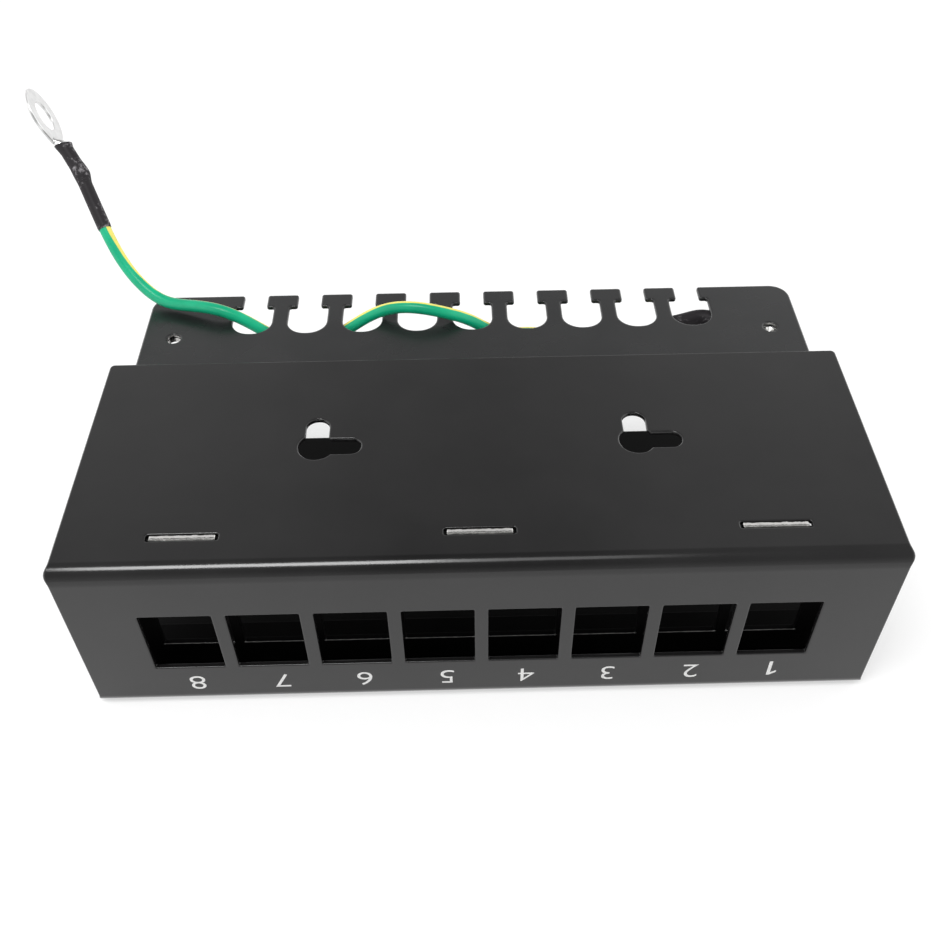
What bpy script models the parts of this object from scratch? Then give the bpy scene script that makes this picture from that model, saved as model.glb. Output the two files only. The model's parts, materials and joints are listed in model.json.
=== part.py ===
"""Blank eight-port patch panel of folded sheet steel, lying with its mounting flange upwards.

Metres, +Z up, +X along the row of ports, the port front facing -Y and the cable-tie comb at +Y.
The origin is under the middle of the panel, on the surface that it lies on.
"""

import math

import bmesh
import bpy
import numpy as np
from mathutils import Matrix, Vector

# Panel shell, folded from one strip: cover flange, port front and mounting flange
PANEL_WIDTH = 0.168
PANEL_HEIGHT = 0.0454
SHELL_SHEET = 0.0012
SHELL_INNER_BEND = 0.0024
MOUNT_FLANGE_DEPTH = 0.0623
COVER_FLANGE_DEPTH = 0.0824
FLANGE_CORNER = 0.0010

# Row of keystone ports in the front
PORT_COUNT = 8
PORT_PITCH = 0.0177
PORT_WIDTH = 0.0148
PORT_HEIGHT = 0.01785
PORT_SILL = 0.01365

# Pair of keyholes in the mounting flange, each a screw hole with two hanging slots
KEYHOLE_SPACING = 0.0688
KEYHOLE_SETBACK = 0.0340
KEYHOLE_RADIUS = 0.0039
SIDE_SLOT_WIDTH = 0.0047
SIDE_SLOT_REACH = 0.0097
REAR_SLOT_WIDTH = 0.0051
REAR_SLOT_REACH = 0.0085

# Keystone bracket behind the front: jack windows, staking tabs above, a foot below
BRACKET_SHEET = 0.0015
BRACKET_INNER_BEND = 0.0007
BRACKET_INSET = 0.005
BRACKET_SETBACK = 0.0085
BRACKET_FOOT = 0.0110
WINDOW_WIDTH = 0.0154
WINDOW_HEIGHT = 0.0232
WINDOW_SILL = 0.0104
TAB_COUNT = 3
TAB_PITCH = 0.0590
TAB_WIDTH = 0.0136
TAB_SLOT_SPARE = 0.0008

# Cable-tie plate lapped under the mounting flange, its rear edge cut into T-shaped lugs
TIE_SHEET = 0.0012
TIE_INSET = 0.005
TIE_LAP = 0.0160
TIE_OVERHANG = 0.0275
TIE_CORNER = 0.0045
LUG_COUNT = 8
LUG_PITCH = 0.01341
LUG_HEAD_WIDTH = 0.0076
LUG_HEAD_DEPTH = 0.0047
LUG_STEM_WIDTH = 0.0038
LUG_CORNER = 0.0006
SLOT_DEPTH = 0.0150
SLOT_ROUND_SHARE = 0.937
EARTH_HOLE_DIAMETER = 0.0033
EARTH_HOLE_SIDE_INSET = 0.0073
EARTH_HOLE_REAR_INSET = 0.0164

# Earth screw and lock washer, fitted from below into the right-hand earth hole
SCREW_HEAD_DIAMETER = 0.0060
SCREW_HEAD_HEIGHT = 0.0020
SCREW_HEAD_ROUND = 0.0010
SCREW_TIP_ROUND = 0.0003
SCREW_TIP_BELOW_FACE = 0.0002
CROSS_LENGTH = 0.0032
CROSS_WIDTH = 0.0007
CROSS_DEPTH = 0.0011
WASHER_DIAMETER = 0.0066
WASHER_SLACK = 0.0003
WASHER_SHEET = 0.0005

# Earth lead with a crimped ring terminal under a heat-shrink sleeve at each end
LEAD_DIAMETER = 0.0029
SLEEVE_CLEARANCE = 0.0003
SLEEVE_WALL = 0.00035
CRIMP_BULGE = 1.18
FREE_SLEEVE_GRIP = 0.0151
FIXED_SLEEVE_LENGTH = 0.0165
TERMINAL_SHEET = 0.0008
FREE_RING_DIAMETER = 0.0140
FREE_RING_HOLE = 0.0080
FREE_TONGUE = 0.0076
FREE_BARREL = 0.0088
FREE_BARREL_SHOWING = 0.0008
FREE_CRIMP_LEAN = math.radians(10.5)
FREE_RING_FACE = Vector((0.907, 0.192, 0.374))
FIXED_RING_DIAMETER = 0.0076
FIXED_RING_SLACK = 0.0006
FIXED_TONGUE = 0.0050
FIXED_BARREL = 0.0093
FIXED_BARREL_SHOWING = 0.0060
FIXED_TONGUE_BEND = math.radians(6)
FIXED_TERMINAL_HEADING = math.radians(143)

# Gap between pieces that touch, and how far a cut runs past the face it goes through
SEAT_GAP = 0.0003
CUT_MARGIN = 0.002

# Fineness of arcs, of flange corners and of tubes, and the distance at which points are one
ARC_STEPS = 6
CORNER_STEPS = 3
LEAD_STEP = 0.0044
TUBE_BEVEL_STEPS = 2
BORE_BEVEL_STEPS = 4
GRIP_STATIONS = 5
CRIMP_STATIONS = 4
FIXED_BULGE_STATION = 1
SAME_PLACE = 1e-6

# Route of the lead's centre line, from the fixed crimp through the comb to the free crimp
LEAD_ROUTE = [
    (0.0602, 0.0372, 0.0399),
    (0.0576, 0.0386, 0.0397),
    (0.0536, 0.0386, 0.0393),
    (0.0484, 0.0365, 0.0388),
    (0.0412, 0.0332, 0.0384),
    (0.0330, 0.0312, 0.0388),
    (0.0230, 0.0311, 0.0397),
    (0.0134, 0.0324, 0.0403),
    (0.0064, 0.0329, 0.0402),
    (0.0000, 0.0336, 0.0433),
    (-0.0064, 0.0328, 0.0466),
    (-0.0134, 0.0332, 0.0480),
    (-0.0204, 0.0346, 0.0467),
    (-0.0268, 0.0349, 0.0434),
    (-0.0332, 0.0333, 0.0401),
    (-0.0402, 0.0317, 0.0389),
    (-0.0472, 0.0325, 0.0400),
    (-0.0536, 0.0341, 0.0433),
    (-0.0602, 0.0353, 0.0464),
    (-0.0676, 0.0376, 0.0465),
    (-0.0752, 0.0401, 0.0463),
    (-0.0812, 0.0437, 0.0490),
    (-0.0856, 0.0476, 0.0535),
    (-0.0892, 0.0523, 0.0593),
    (-0.0921, 0.0573, 0.0640),
    (-0.0950, 0.0624, 0.0688),
]

# Places that follow from the sizes above
TIE_REACH = MOUNT_FLANGE_DEPTH + TIE_OVERHANG
FRONT_Y = -max(TIE_REACH, COVER_FLANGE_DEPTH) / 2
MOUNT_REAR_Y = FRONT_Y + MOUNT_FLANGE_DEPTH
COVER_REAR_Y = FRONT_Y + COVER_FLANGE_DEPTH
TIE_FRONT_Y = MOUNT_REAR_Y - TIE_LAP
TIE_REAR_Y = FRONT_Y + TIE_REACH
MOUNT_UNDERSIDE = PANEL_HEIGHT - SHELL_SHEET
TIE_TOP = MOUNT_UNDERSIDE - SEAT_GAP
TIE_UNDERSIDE = TIE_TOP - TIE_SHEET
SHELL_BEND = SHELL_INNER_BEND + SHELL_SHEET
BRACKET_BEND = BRACKET_INNER_BEND + BRACKET_SHEET
BRACKET_WIDTH = PANEL_WIDTH - 2 * BRACKET_INSET
TIE_WIDTH = PANEL_WIDTH - 2 * TIE_INSET
BRACKET_FRONT_Y = FRONT_Y + BRACKET_SETBACK
BRACKET_REAR_Y = BRACKET_FRONT_Y + BRACKET_SHEET
BRACKET_BOTTOM = SHELL_SHEET + SEAT_GAP
BRACKET_SHOULDER = MOUNT_UNDERSIDE - SEAT_GAP
EARTH_HOLE_X = TIE_WIDTH / 2 - EARTH_HOLE_SIDE_INSET
EARTH_HOLE_Y = TIE_REAR_Y - EARTH_HOLE_REAR_INSET
WASHER_BORE = EARTH_HOLE_DIAMETER + WASHER_SLACK
FIXED_RING_HOLE = EARTH_HOLE_DIAMETER + FIXED_RING_SLACK
RING_TOP = TIE_UNDERSIDE - SEAT_GAP
WASHER_TOP = RING_TOP - TERMINAL_SHEET - SEAT_GAP
SCREW_HEAD_TOP = WASHER_TOP - WASHER_SHEET - SEAT_GAP
LEAD_RADIUS = LEAD_DIAMETER / 2
SLEEVE_BORE_RADIUS = LEAD_RADIUS + SLEEVE_CLEARANCE
SLEEVE_RADIUS = SLEEVE_BORE_RADIUS + SLEEVE_WALL
TONGUE_RISE = LEAD_RADIUS - TERMINAL_SHEET / 2


def spaced(count, pitch):
    """Centres of a row of equal pitch about zero."""
    return [(index - (count - 1) / 2) * pitch for index in range(count)]


def rounded(corners):
    """Outline through (u, v, radius) corners, each with a radius turned into an arc."""
    outline = []
    for index, (u, v, radius) in enumerate(corners):
        here = Vector((u, v))
        if radius <= 0:
            outline.append(here)
            continue
        back = (Vector(corners[index - 1][:2]) - here).normalized()
        ahead = (Vector(corners[(index + 1) % len(corners)][:2]) - here).normalized()
        half = back.angle(ahead) / 2
        centre = here + (back + ahead).normalized() * (radius / math.sin(half))
        first = here + back * (radius / math.tan(half)) - centre
        last = here + ahead * (radius / math.tan(half)) - centre
        start = math.atan2(first.y, first.x)
        sweep = math.remainder(math.atan2(last.y, last.x) - start, math.tau)
        for step in range(ARC_STEPS + 1):
            angle = start + sweep * step / ARC_STEPS
            outline.append(centre + radius * Vector((math.cos(angle), math.sin(angle))))
    return outline


def rectangle(u0, u1, v0, v1):
    """Outline of a rectangle."""
    return [Vector((u0, v0)), Vector((u1, v0)), Vector((u1, v1)), Vector((u0, v1))]


def circle(u, v, radius, steps=4 * ARC_STEPS):
    """Outline of a circle."""
    turns = [math.tau * step / steps for step in range(steps)]
    return [Vector((u + radius * math.cos(turn), v + radius * math.sin(turn))) for turn in turns]


PLANES = {
    "X": lambda u, v, w: (w, u, v),
    "Y": lambda u, v, w: (u, w, v),
    "Z": lambda u, v, w: (u, v, w),
}


def prisms(name, outlines, axis, start, end):
    """Object of one closed prism for each outline, extruded along an axis from start to end."""
    mesh = bpy.data.meshes.new(name)
    model = bmesh.new()
    place = PLANES[axis]
    for outline in outlines:
        corners = [model.verts.new(place(u, v, start)) for u, v in outline]
        face = model.faces.new(corners)
        grown = bmesh.ops.extrude_face_region(model, geom=[face])
        moved = [item for item in grown["geom"] if isinstance(item, bmesh.types.BMVert)]
        bmesh.ops.translate(model, verts=moved, vec=Vector(place(0, 0, end - start)))
    bmesh.ops.recalc_face_normals(model, faces=model.faces)
    model.to_mesh(mesh)
    model.free()
    piece = bpy.data.objects.new(name, mesh)
    bpy.context.scene.collection.objects.link(piece)
    return piece


def combine(piece, tool, operation):
    """Boolean of a piece with a hidden tool body, which then follows the piece."""
    change = piece.modifiers.new(tool.name, "BOOLEAN")
    change.operation = operation
    change.object = tool
    change.solver = "EXACT"
    tool.hide_render = True
    tool.display_type = "WIRE"


def finish(piece, colour, roughness, metallic):
    """The piece's own surface finish."""
    material = bpy.data.materials.new(piece.name)
    material.use_nodes = True
    shader = material.node_tree.nodes["Principled BSDF"]
    shader.inputs["Base Color"].default_value = (*colour, 1.0)
    shader.inputs["Roughness"].default_value = roughness
    shader.inputs["Metallic"].default_value = metallic
    piece.data.materials.append(material)


def tube_mesh(name, points, radii, bevel_steps):
    """Mesh of a capped tube along points, with its own radius at each point."""
    path = tube_curve(name, points, radii, bevel_steps)
    guide = bpy.data.objects.new(name, path)
    bpy.context.scene.collection.objects.link(guide)
    mesh = bpy.data.meshes.new_from_object(guide.evaluated_get(bpy.context.evaluated_depsgraph_get()))
    bpy.data.objects.remove(guide)
    model = bmesh.new()
    model.from_mesh(mesh)
    bmesh.ops.remove_doubles(model, verts=model.verts, dist=SAME_PLACE)
    bmesh.ops.recalc_face_normals(model, faces=model.faces)
    model.to_mesh(mesh)
    model.free()
    piece = bpy.data.objects.new(name, mesh)
    bpy.context.scene.collection.objects.link(piece)
    return piece


def tube_curve(name, points, radii, bevel_steps):
    """Curve through points as a round bar with filled ends."""
    path = bpy.data.curves.new(name, "CURVE")
    path.dimensions = "3D"
    path.bevel_depth = 1.0
    path.bevel_resolution = bevel_steps
    path.use_fill_caps = True
    line = path.splines.new("POLY")
    line.points.add(len(points) - 1)
    for spot, place, radius in zip(line.points, points, radii):
        spot.co = (*place, 1.0)
        spot.radius = radius
    return path


def lead_line():
    """Places along the lead at even steps, read from a natural cubic spline through its route."""
    route = np.array(LEAD_ROUTE)
    spans = np.linalg.norm(np.diff(route, axis=0), axis=1)
    knots = np.concatenate([[0.0], np.cumsum(spans)])
    count = len(route)
    bends = np.eye(count)
    sides = np.zeros((count, 3))
    for i in range(1, count - 1):
        bends[i, i - 1 : i + 2] = spans[i - 1], 2 * (spans[i - 1] + spans[i]), spans[i]
        sides[i] = 6 * ((route[i + 1] - route[i]) / spans[i] - (route[i] - route[i - 1]) / spans[i - 1])
    curvature = np.linalg.solve(bends, sides)
    line = []
    for along in np.linspace(0.0, knots[-1], round(knots[-1] / LEAD_STEP) + 1):
        i = min(int(np.searchsorted(knots, along, side="right")) - 1, count - 2)
        ahead = (along - knots[i]) / spans[i]
        back = 1.0 - ahead
        bow = (back**3 - back) * curvature[i] + (ahead**3 - ahead) * curvature[i + 1]
        line.append(Vector(back * route[i] + ahead * route[i + 1] + bow * spans[i] ** 2 / 6))
    return line


def make_shell():
    """Folded strip with ports in the front, keyholes and tab slots in the mounting flange."""
    profile = rounded(
        [
            (COVER_REAR_Y, 0.0, 0.0),
            (COVER_REAR_Y, SHELL_SHEET, 0.0),
            (FRONT_Y + SHELL_SHEET, SHELL_SHEET, SHELL_INNER_BEND),
            (FRONT_Y + SHELL_SHEET, MOUNT_UNDERSIDE, SHELL_INNER_BEND),
            (MOUNT_REAR_Y, MOUNT_UNDERSIDE, 0.0),
            (MOUNT_REAR_Y, PANEL_HEIGHT, 0.0),
            (FRONT_Y, PANEL_HEIGHT, SHELL_BEND),
            (FRONT_Y, 0.0, SHELL_BEND),
        ]
    )
    shell = prisms("panel_shell", [profile], "X", -PANEL_WIDTH / 2, PANEL_WIDTH / 2)
    round_flange_corners(shell)

    ports = []
    for x in spaced(PORT_COUNT, PORT_PITCH):
        ports.append(rectangle(x - PORT_WIDTH / 2, x + PORT_WIDTH / 2, PORT_SILL, PORT_SILL + PORT_HEIGHT))
    through_front = FRONT_Y - CUT_MARGIN, FRONT_Y + SHELL_SHEET + CUT_MARGIN
    combine(shell, prisms("port_cutter", ports, "Y", *through_front), "DIFFERENCE")

    through_flange = MOUNT_UNDERSIDE - CUT_MARGIN, PANEL_HEIGHT + CUT_MARGIN
    keyholes = [keyhole_outline(x) for x in spaced(2, KEYHOLE_SPACING)]
    combine(shell, prisms("keyhole_cutter", keyholes, "Z", *through_flange), "DIFFERENCE")

    slots = []
    reach = TAB_WIDTH / 2 + TAB_SLOT_SPARE
    for x in spaced(TAB_COUNT, TAB_PITCH):
        slots.append(
            rectangle(x - reach, x + reach, BRACKET_FRONT_Y - SEAT_GAP, BRACKET_REAR_Y + SEAT_GAP)
        )
    combine(shell, prisms("tab_slot_cutter", slots, "Z", *through_flange), "DIFFERENCE")
    finish(shell, (0.045, 0.045, 0.046), 0.45, 0.0)
    return shell


def round_flange_corners(shell):
    """Small rounds on the four free corners of the two flanges."""
    model = bmesh.new()
    model.from_mesh(shell.data)
    corners = []
    for edge in model.edges:
        first, last = [vert.co for vert in edge.verts]
        rear_y = MOUNT_REAR_Y if first.z > PANEL_HEIGHT / 2 else COVER_REAR_Y
        along_z = abs(first.x - last.x) < SAME_PLACE
        if along_z and abs(first.y - rear_y) < SAME_PLACE and abs(last.y - rear_y) < SAME_PLACE:
            corners.append(edge)
    bmesh.ops.bevel(
        model,
        geom=corners,
        offset=FLANGE_CORNER,
        offset_type="OFFSET",
        segments=CORNER_STEPS,
        profile=0.5,
        affect="EDGES",
    )
    model.to_mesh(shell.data)
    model.free()


def keyhole_outline(x):
    """Screw hole with a slot to +X and a slot to +Y, both with round ends."""
    y = FRONT_Y + KEYHOLE_SETBACK
    side_half = SIDE_SLOT_WIDTH / 2
    rear_half = REAR_SLOT_WIDTH / 2
    side_join = math.asin(side_half / KEYHOLE_RADIUS)
    rear_join = math.asin(rear_half / KEYHOLE_RADIUS)
    outline = arc(x, y, KEYHOLE_RADIUS, math.pi / 2 + rear_join, math.tau - side_join, 3 * ARC_STEPS)
    outline += arc(x + SIDE_SLOT_REACH - side_half, y, side_half, -math.pi / 2, math.pi / 2, 2 * ARC_STEPS)
    outline += arc(x, y, KEYHOLE_RADIUS, side_join, math.pi / 2 - rear_join, CORNER_STEPS)
    outline += arc(x, y + REAR_SLOT_REACH - rear_half, rear_half, 0.0, math.pi, 2 * ARC_STEPS)
    return outline


def arc(u, v, radius, start, end, steps):
    """Points of an arc from one angle to another."""
    angles = [start + (end - start) * step / steps for step in range(steps + 1)]
    return [Vector((u + radius * math.cos(angle), v + radius * math.sin(angle))) for angle in angles]


def make_bracket():
    """Upright plate with jack windows, three tabs up through the flange and a foot on the cover flange."""
    foot_y = BRACKET_FRONT_Y + BRACKET_FOOT
    foot_top = BRACKET_BOTTOM + BRACKET_SHEET
    profile = rounded(
        [
            (BRACKET_FRONT_Y, BRACKET_BOTTOM, BRACKET_BEND),
            (foot_y, BRACKET_BOTTOM, 0.0),
            (foot_y, foot_top, 0.0),
            (BRACKET_REAR_Y, foot_top, BRACKET_INNER_BEND),
            (BRACKET_REAR_Y, PANEL_HEIGHT, 0.0),
            (BRACKET_FRONT_Y, PANEL_HEIGHT, 0.0),
        ]
    )
    bracket = prisms("keystone_bracket", [profile], "X", -BRACKET_WIDTH / 2, BRACKET_WIDTH / 2)
    through = BRACKET_FRONT_Y - CUT_MARGIN, BRACKET_REAR_Y + CUT_MARGIN

    window_top = WINDOW_SILL + WINDOW_HEIGHT
    windows = []
    for x in spaced(PORT_COUNT, PORT_PITCH):
        windows.append(rectangle(x - WINDOW_WIDTH / 2, x + WINDOW_WIDTH / 2, WINDOW_SILL, window_top))
    combine(bracket, prisms("window_cutter", windows, "Y", *through), "DIFFERENCE")

    edges = [-BRACKET_WIDTH / 2 - CUT_MARGIN]
    for x in spaced(TAB_COUNT, TAB_PITCH):
        edges += [x - TAB_WIDTH / 2, x + TAB_WIDTH / 2]
    edges.append(BRACKET_WIDTH / 2 + CUT_MARGIN)
    above = PANEL_HEIGHT + CUT_MARGIN
    spaces = [rectangle(*pair, BRACKET_SHOULDER, above) for pair in zip(edges[::2], edges[1::2])]
    combine(bracket, prisms("tab_space_cutter", spaces, "Y", *through), "DIFFERENCE")
    finish(bracket, (0.040, 0.040, 0.041), 0.45, 0.0)
    return bracket


def make_tie_plate():
    """Flat plate with T-shaped lugs between open slots, and a tapped earth hole near each end."""
    half = TIE_WIDTH / 2
    blank = rounded(
        [
            (-half, TIE_FRONT_Y, FLANGE_CORNER),
            (half, TIE_FRONT_Y, FLANGE_CORNER),
            (half, TIE_REAR_Y, TIE_CORNER),
            (-half, TIE_REAR_Y, TIE_CORNER),
        ]
    )
    plate = prisms("cable_tie_plate", [blank], "Z", TIE_UNDERSIDE, TIE_TOP)
    through = TIE_UNDERSIDE - CUT_MARGIN, TIE_TOP + CUT_MARGIN
    slots = [slot_outline(x) for x in spaced(LUG_COUNT + 1, LUG_PITCH)]
    combine(plate, prisms("slot_cutter", slots, "Z", *through), "DIFFERENCE")
    holes = [circle(x, EARTH_HOLE_Y, EARTH_HOLE_DIAMETER / 2) for x in (-EARTH_HOLE_X, EARTH_HOLE_X)]
    combine(plate, prisms("earth_hole_cutter", holes, "Z", *through), "DIFFERENCE")
    finish(plate, (0.050, 0.050, 0.052), 0.45, 0.0)
    return plate


def slot_outline(x):
    """Slot between two lugs: a narrow mouth between their heads, a wide round-bottomed inside."""
    mouth = (LUG_PITCH - LUG_HEAD_WIDTH) / 2
    inside = (LUG_PITCH - LUG_STEM_WIDTH) / 2
    neck_y = TIE_REAR_Y - LUG_HEAD_DEPTH
    bottom_y = TIE_REAR_Y - SLOT_DEPTH
    bottom_round = SLOT_ROUND_SHARE * inside
    flare_y = TIE_REAR_Y + CUT_MARGIN
    flare = LUG_CORNER
    return rounded(
        [
            (x - inside, bottom_y, bottom_round),
            (x + inside, bottom_y, bottom_round),
            (x + inside, neck_y, LUG_CORNER),
            (x + mouth, neck_y, LUG_CORNER),
            (x + mouth, TIE_REAR_Y - flare, LUG_CORNER),
            (x + mouth + flare, TIE_REAR_Y, 0.0),
            (x + mouth + flare, flare_y, 0.0),
            (x - mouth - flare, flare_y, 0.0),
            (x - mouth - flare, TIE_REAR_Y, 0.0),
            (x - mouth, TIE_REAR_Y - flare, LUG_CORNER),
            (x - mouth, neck_y, LUG_CORNER),
            (x - inside, neck_y, LUG_CORNER),
        ]
    )


def make_screw():
    """Pan-headed earth screw, its shank up through washer, ring terminal and plate."""
    shank_radius = EARTH_HOLE_DIAMETER / 2 - SEAT_GAP
    head_bottom = SCREW_HEAD_TOP - SCREW_HEAD_HEIGHT
    tip = TIE_TOP - SCREW_TIP_BELOW_FACE
    head_radius = SCREW_HEAD_DIAMETER / 2
    profile = rounded(
        [
            (0.0, tip, 0.0),
            (shank_radius, tip, SCREW_TIP_ROUND),
            (shank_radius, SCREW_HEAD_TOP, 0.0),
            (head_radius, SCREW_HEAD_TOP, 0.0),
            (head_radius, head_bottom, SCREW_HEAD_ROUND),
            (0.0, head_bottom, 0.0),
        ]
    )
    screw = turned("earth_screw", profile)
    recess_top = head_bottom + CROSS_DEPTH
    arms = {"recess_along": (CROSS_LENGTH, CROSS_WIDTH), "recess_across": (CROSS_WIDTH, CROSS_LENGTH)}
    for name, (size_x, size_y) in arms.items():
        x0, x1 = EARTH_HOLE_X - size_x / 2, EARTH_HOLE_X + size_x / 2
        y0, y1 = EARTH_HOLE_Y - size_y / 2, EARTH_HOLE_Y + size_y / 2
        arm = prisms(name, [rectangle(x0, x1, y0, y1)], "Z", head_bottom - CUT_MARGIN, recess_top)
        combine(screw, arm, "DIFFERENCE")
    finish(screw, (0.72, 0.72, 0.70), 0.3, 1.0)
    return screw


def make_washer():
    """Lock washer between the screw head and the ring terminal."""
    section = rectangle(WASHER_BORE / 2, WASHER_DIAMETER / 2, WASHER_TOP - WASHER_SHEET, WASHER_TOP)
    washer = turned("earth_washer", section, closed=True)
    finish(washer, (0.62, 0.62, 0.60), 0.35, 1.0)
    return washer


def turned(name, profile, closed=False):
    """Body turned about the earth hole, from (radius, height) points or from a closed section."""
    model = bmesh.new()
    spots = [model.verts.new((EARTH_HOLE_X + radius, EARTH_HOLE_Y, height)) for radius, height in profile]
    lines = [model.edges.new(pair) for pair in zip(spots, spots[1:])]
    if closed:
        lines.append(model.edges.new((spots[-1], spots[0])))
    axis = Vector((EARTH_HOLE_X, EARTH_HOLE_Y, 0.0))
    bmesh.ops.spin(
        model,
        geom=spots + lines,
        cent=axis,
        axis=(0, 0, 1),
        angle=math.tau,
        steps=4 * ARC_STEPS,
        use_merge=True,
    )
    bmesh.ops.remove_doubles(model, verts=model.verts, dist=SAME_PLACE)
    bmesh.ops.recalc_face_normals(model, faces=model.faces)
    mesh = bpy.data.meshes.new(name)
    model.to_mesh(mesh)
    model.free()
    piece = bpy.data.objects.new(name, mesh)
    bpy.context.scene.collection.objects.link(piece)
    return piece


def make_terminal(name, ring, hole, tongue, barrel, bend, place):
    """Ring terminal: crimp barrel along local -X, tongue on its upper side and ring ahead, bent about Y."""
    radius = ring / 2
    reach = math.hypot(tongue, LEAD_RADIUS)
    touch = math.atan2(LEAD_RADIUS, -tongue) - math.acos(radius / reach)
    thin = TERMINAL_SHEET / 2
    outline = [Vector((-thin, -LEAD_RADIUS)), Vector((0.0, -LEAD_RADIUS))]
    outline += arc(tongue, 0.0, radius, -touch, touch, 4 * ARC_STEPS)
    outline += [Vector((0.0, LEAD_RADIUS)), Vector((-thin, LEAD_RADIUS))]
    terminal = prisms(name, [outline], "Z", -thin, thin)
    tilt = Matrix.Translation((0.0, 0.0, TONGUE_RISE)) @ Matrix.Rotation(bend, 4, "Y")
    terminal.data.transform(tilt)
    bore = prisms(name + "_hole", [circle(tongue, 0.0, hole / 2)], "Z", -radius, radius)
    bore.data.transform(tilt)
    crimp = prisms(name + "_barrel", [circle(0.0, 0.0, LEAD_RADIUS, 2 * ARC_STEPS)], "X", -barrel, thin)
    for piece in (terminal, bore, crimp):
        piece.matrix_world = place
    combine(terminal, crimp, "UNION")
    combine(terminal, bore, "DIFFERENCE")
    finish(terminal, (0.80, 0.80, 0.79), 0.25, 1.0)
    return terminal


def frame_at(origin, ahead, side):
    """Placing matrix with local X along ahead and local Y as near to side as it can be."""
    x_axis = ahead.normalized()
    z_axis = x_axis.cross(side).normalized()
    y_axis = z_axis.cross(x_axis)
    turn = Matrix((x_axis, y_axis, z_axis)).transposed()
    return Matrix.Translation(origin) @ turn.to_4x4()


def make_sleeve(name, points, bulge_at):
    """Heat-shrink sleeve along points, swollen over the crimp at one of them and bored for the lead."""
    radii = [SLEEVE_RADIUS * (CRIMP_BULGE if index == bulge_at else 1.0) for index in range(len(points))]
    sleeve = tube_mesh(name, points, radii, BORE_BEVEL_STEPS)
    first = points[0] + (points[0] - points[1]).normalized() * CUT_MARGIN
    last = points[-1] + (points[-1] - points[-2]).normalized() * CUT_MARGIN
    bore_line = [first, *points, last]
    bore = tube_mesh(name + "_bore", bore_line, [SLEEVE_BORE_RADIUS] * len(bore_line), BORE_BEVEL_STEPS)
    combine(sleeve, bore, "DIFFERENCE")
    finish(sleeve, (0.030, 0.028, 0.030), 0.55, 0.0)
    return sleeve


def make_lead(line):
    """Insulated earth lead, a plain round bar along its line."""
    path = tube_curve("earth_lead", line, [LEAD_RADIUS] * len(line), TUBE_BEVEL_STEPS)
    lead = bpy.data.objects.new(path.name, path)
    bpy.context.scene.collection.objects.link(lead)
    finish(lead, (0.02, 0.40, 0.25), 0.4, 0.0)
    return lead


def stations(start, ahead, length, count):
    """Evenly spaced places on a straight run."""
    return [start + ahead * (length * index / (count - 1)) for index in range(count)]


def make_free_end(line):
    """Sleeve and ring terminal standing on the lead's loose end, the crimp leaning away from the ring's face."""
    tip = line[-1]
    lead_ahead = (Vector(LEAD_ROUTE[-1]) - Vector(LEAD_ROUTE[-3])).normalized()
    lean_axis = FREE_RING_FACE.cross(lead_ahead).normalized()
    ahead = Matrix.Rotation(FREE_CRIMP_LEAN, 3, lean_axis) @ lead_ahead
    barrel_front = tip + ahead * (SEAT_GAP + FREE_BARREL)
    crimp_length = SEAT_GAP + FREE_BARREL - FREE_BARREL_SHOWING
    run = stations(tip - lead_ahead * FREE_SLEEVE_GRIP, lead_ahead, FREE_SLEEVE_GRIP, GRIP_STATIONS)
    run += stations(tip, ahead, crimp_length, CRIMP_STATIONS)[1:]
    make_sleeve("free_heat_shrink", run, GRIP_STATIONS - 1)
    place = frame_at(barrel_front, ahead, ahead.cross(FREE_RING_FACE))
    make_terminal(
        "free_ring_terminal",
        FREE_RING_DIAMETER,
        FREE_RING_HOLE,
        FREE_TONGUE,
        FREE_BARREL,
        FREE_CRIMP_LEAN,
        place,
    )


def make_fixed_end(line):
    """Ring terminal clamped under the tie plate at the earth hole, and its sleeve."""
    heading = Vector((math.cos(FIXED_TERMINAL_HEADING), math.sin(FIXED_TERMINAL_HEADING), 0.0))
    ring_centre = Vector((EARTH_HOLE_X, EARTH_HOLE_Y, RING_TOP - TERMINAL_SHEET / 2))
    across = heading.cross(Vector((0, 0, 1)))
    outward = Matrix.Rotation(-FIXED_TONGUE_BEND, 3, across) @ heading
    below = outward.cross(across)
    barrel_front = ring_centre + heading * FIXED_TONGUE + below * TONGUE_RISE
    place = frame_at(barrel_front, -outward, across)
    make_terminal(
        "fixed_ring_terminal",
        FIXED_RING_DIAMETER,
        FIXED_RING_HOLE,
        FIXED_TONGUE,
        FIXED_BARREL,
        FIXED_TONGUE_BEND,
        place,
    )
    run = [barrel_front + outward * FIXED_BARREL_SHOWING, barrel_front + outward * FIXED_BARREL]
    for spot in line[1:]:
        travelled = sum((b - a).length for a, b in zip(run, run[1:]))
        if travelled > FIXED_SLEEVE_LENGTH:
            break
        run.append(spot)
    make_sleeve("fixed_heat_shrink", run, FIXED_BULGE_STATION)


def build():
    """The whole panel, in a scene of its own."""
    for leftover in list(bpy.data.objects):
        bpy.data.objects.remove(leftover)
    make_shell()
    make_bracket()
    make_tie_plate()
    make_screw()
    make_washer()
    line = lead_line()
    make_lead(line)
    make_free_end(line)
    make_fixed_end(line)


build()
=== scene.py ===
"""Looks of a blank eight-port keystone patch panel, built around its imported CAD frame.

Metres, +Z up, +X along the row of ports. The port front faces -Y and the cable-tie comb +Y, and the
panel lies on its cover flange with the mounting flange upwards, so its port numbers are upside down.
"""

import json
import math

import bmesh
import bpy
import numpy as np
from mathutils import Matrix, Vector, noise

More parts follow.
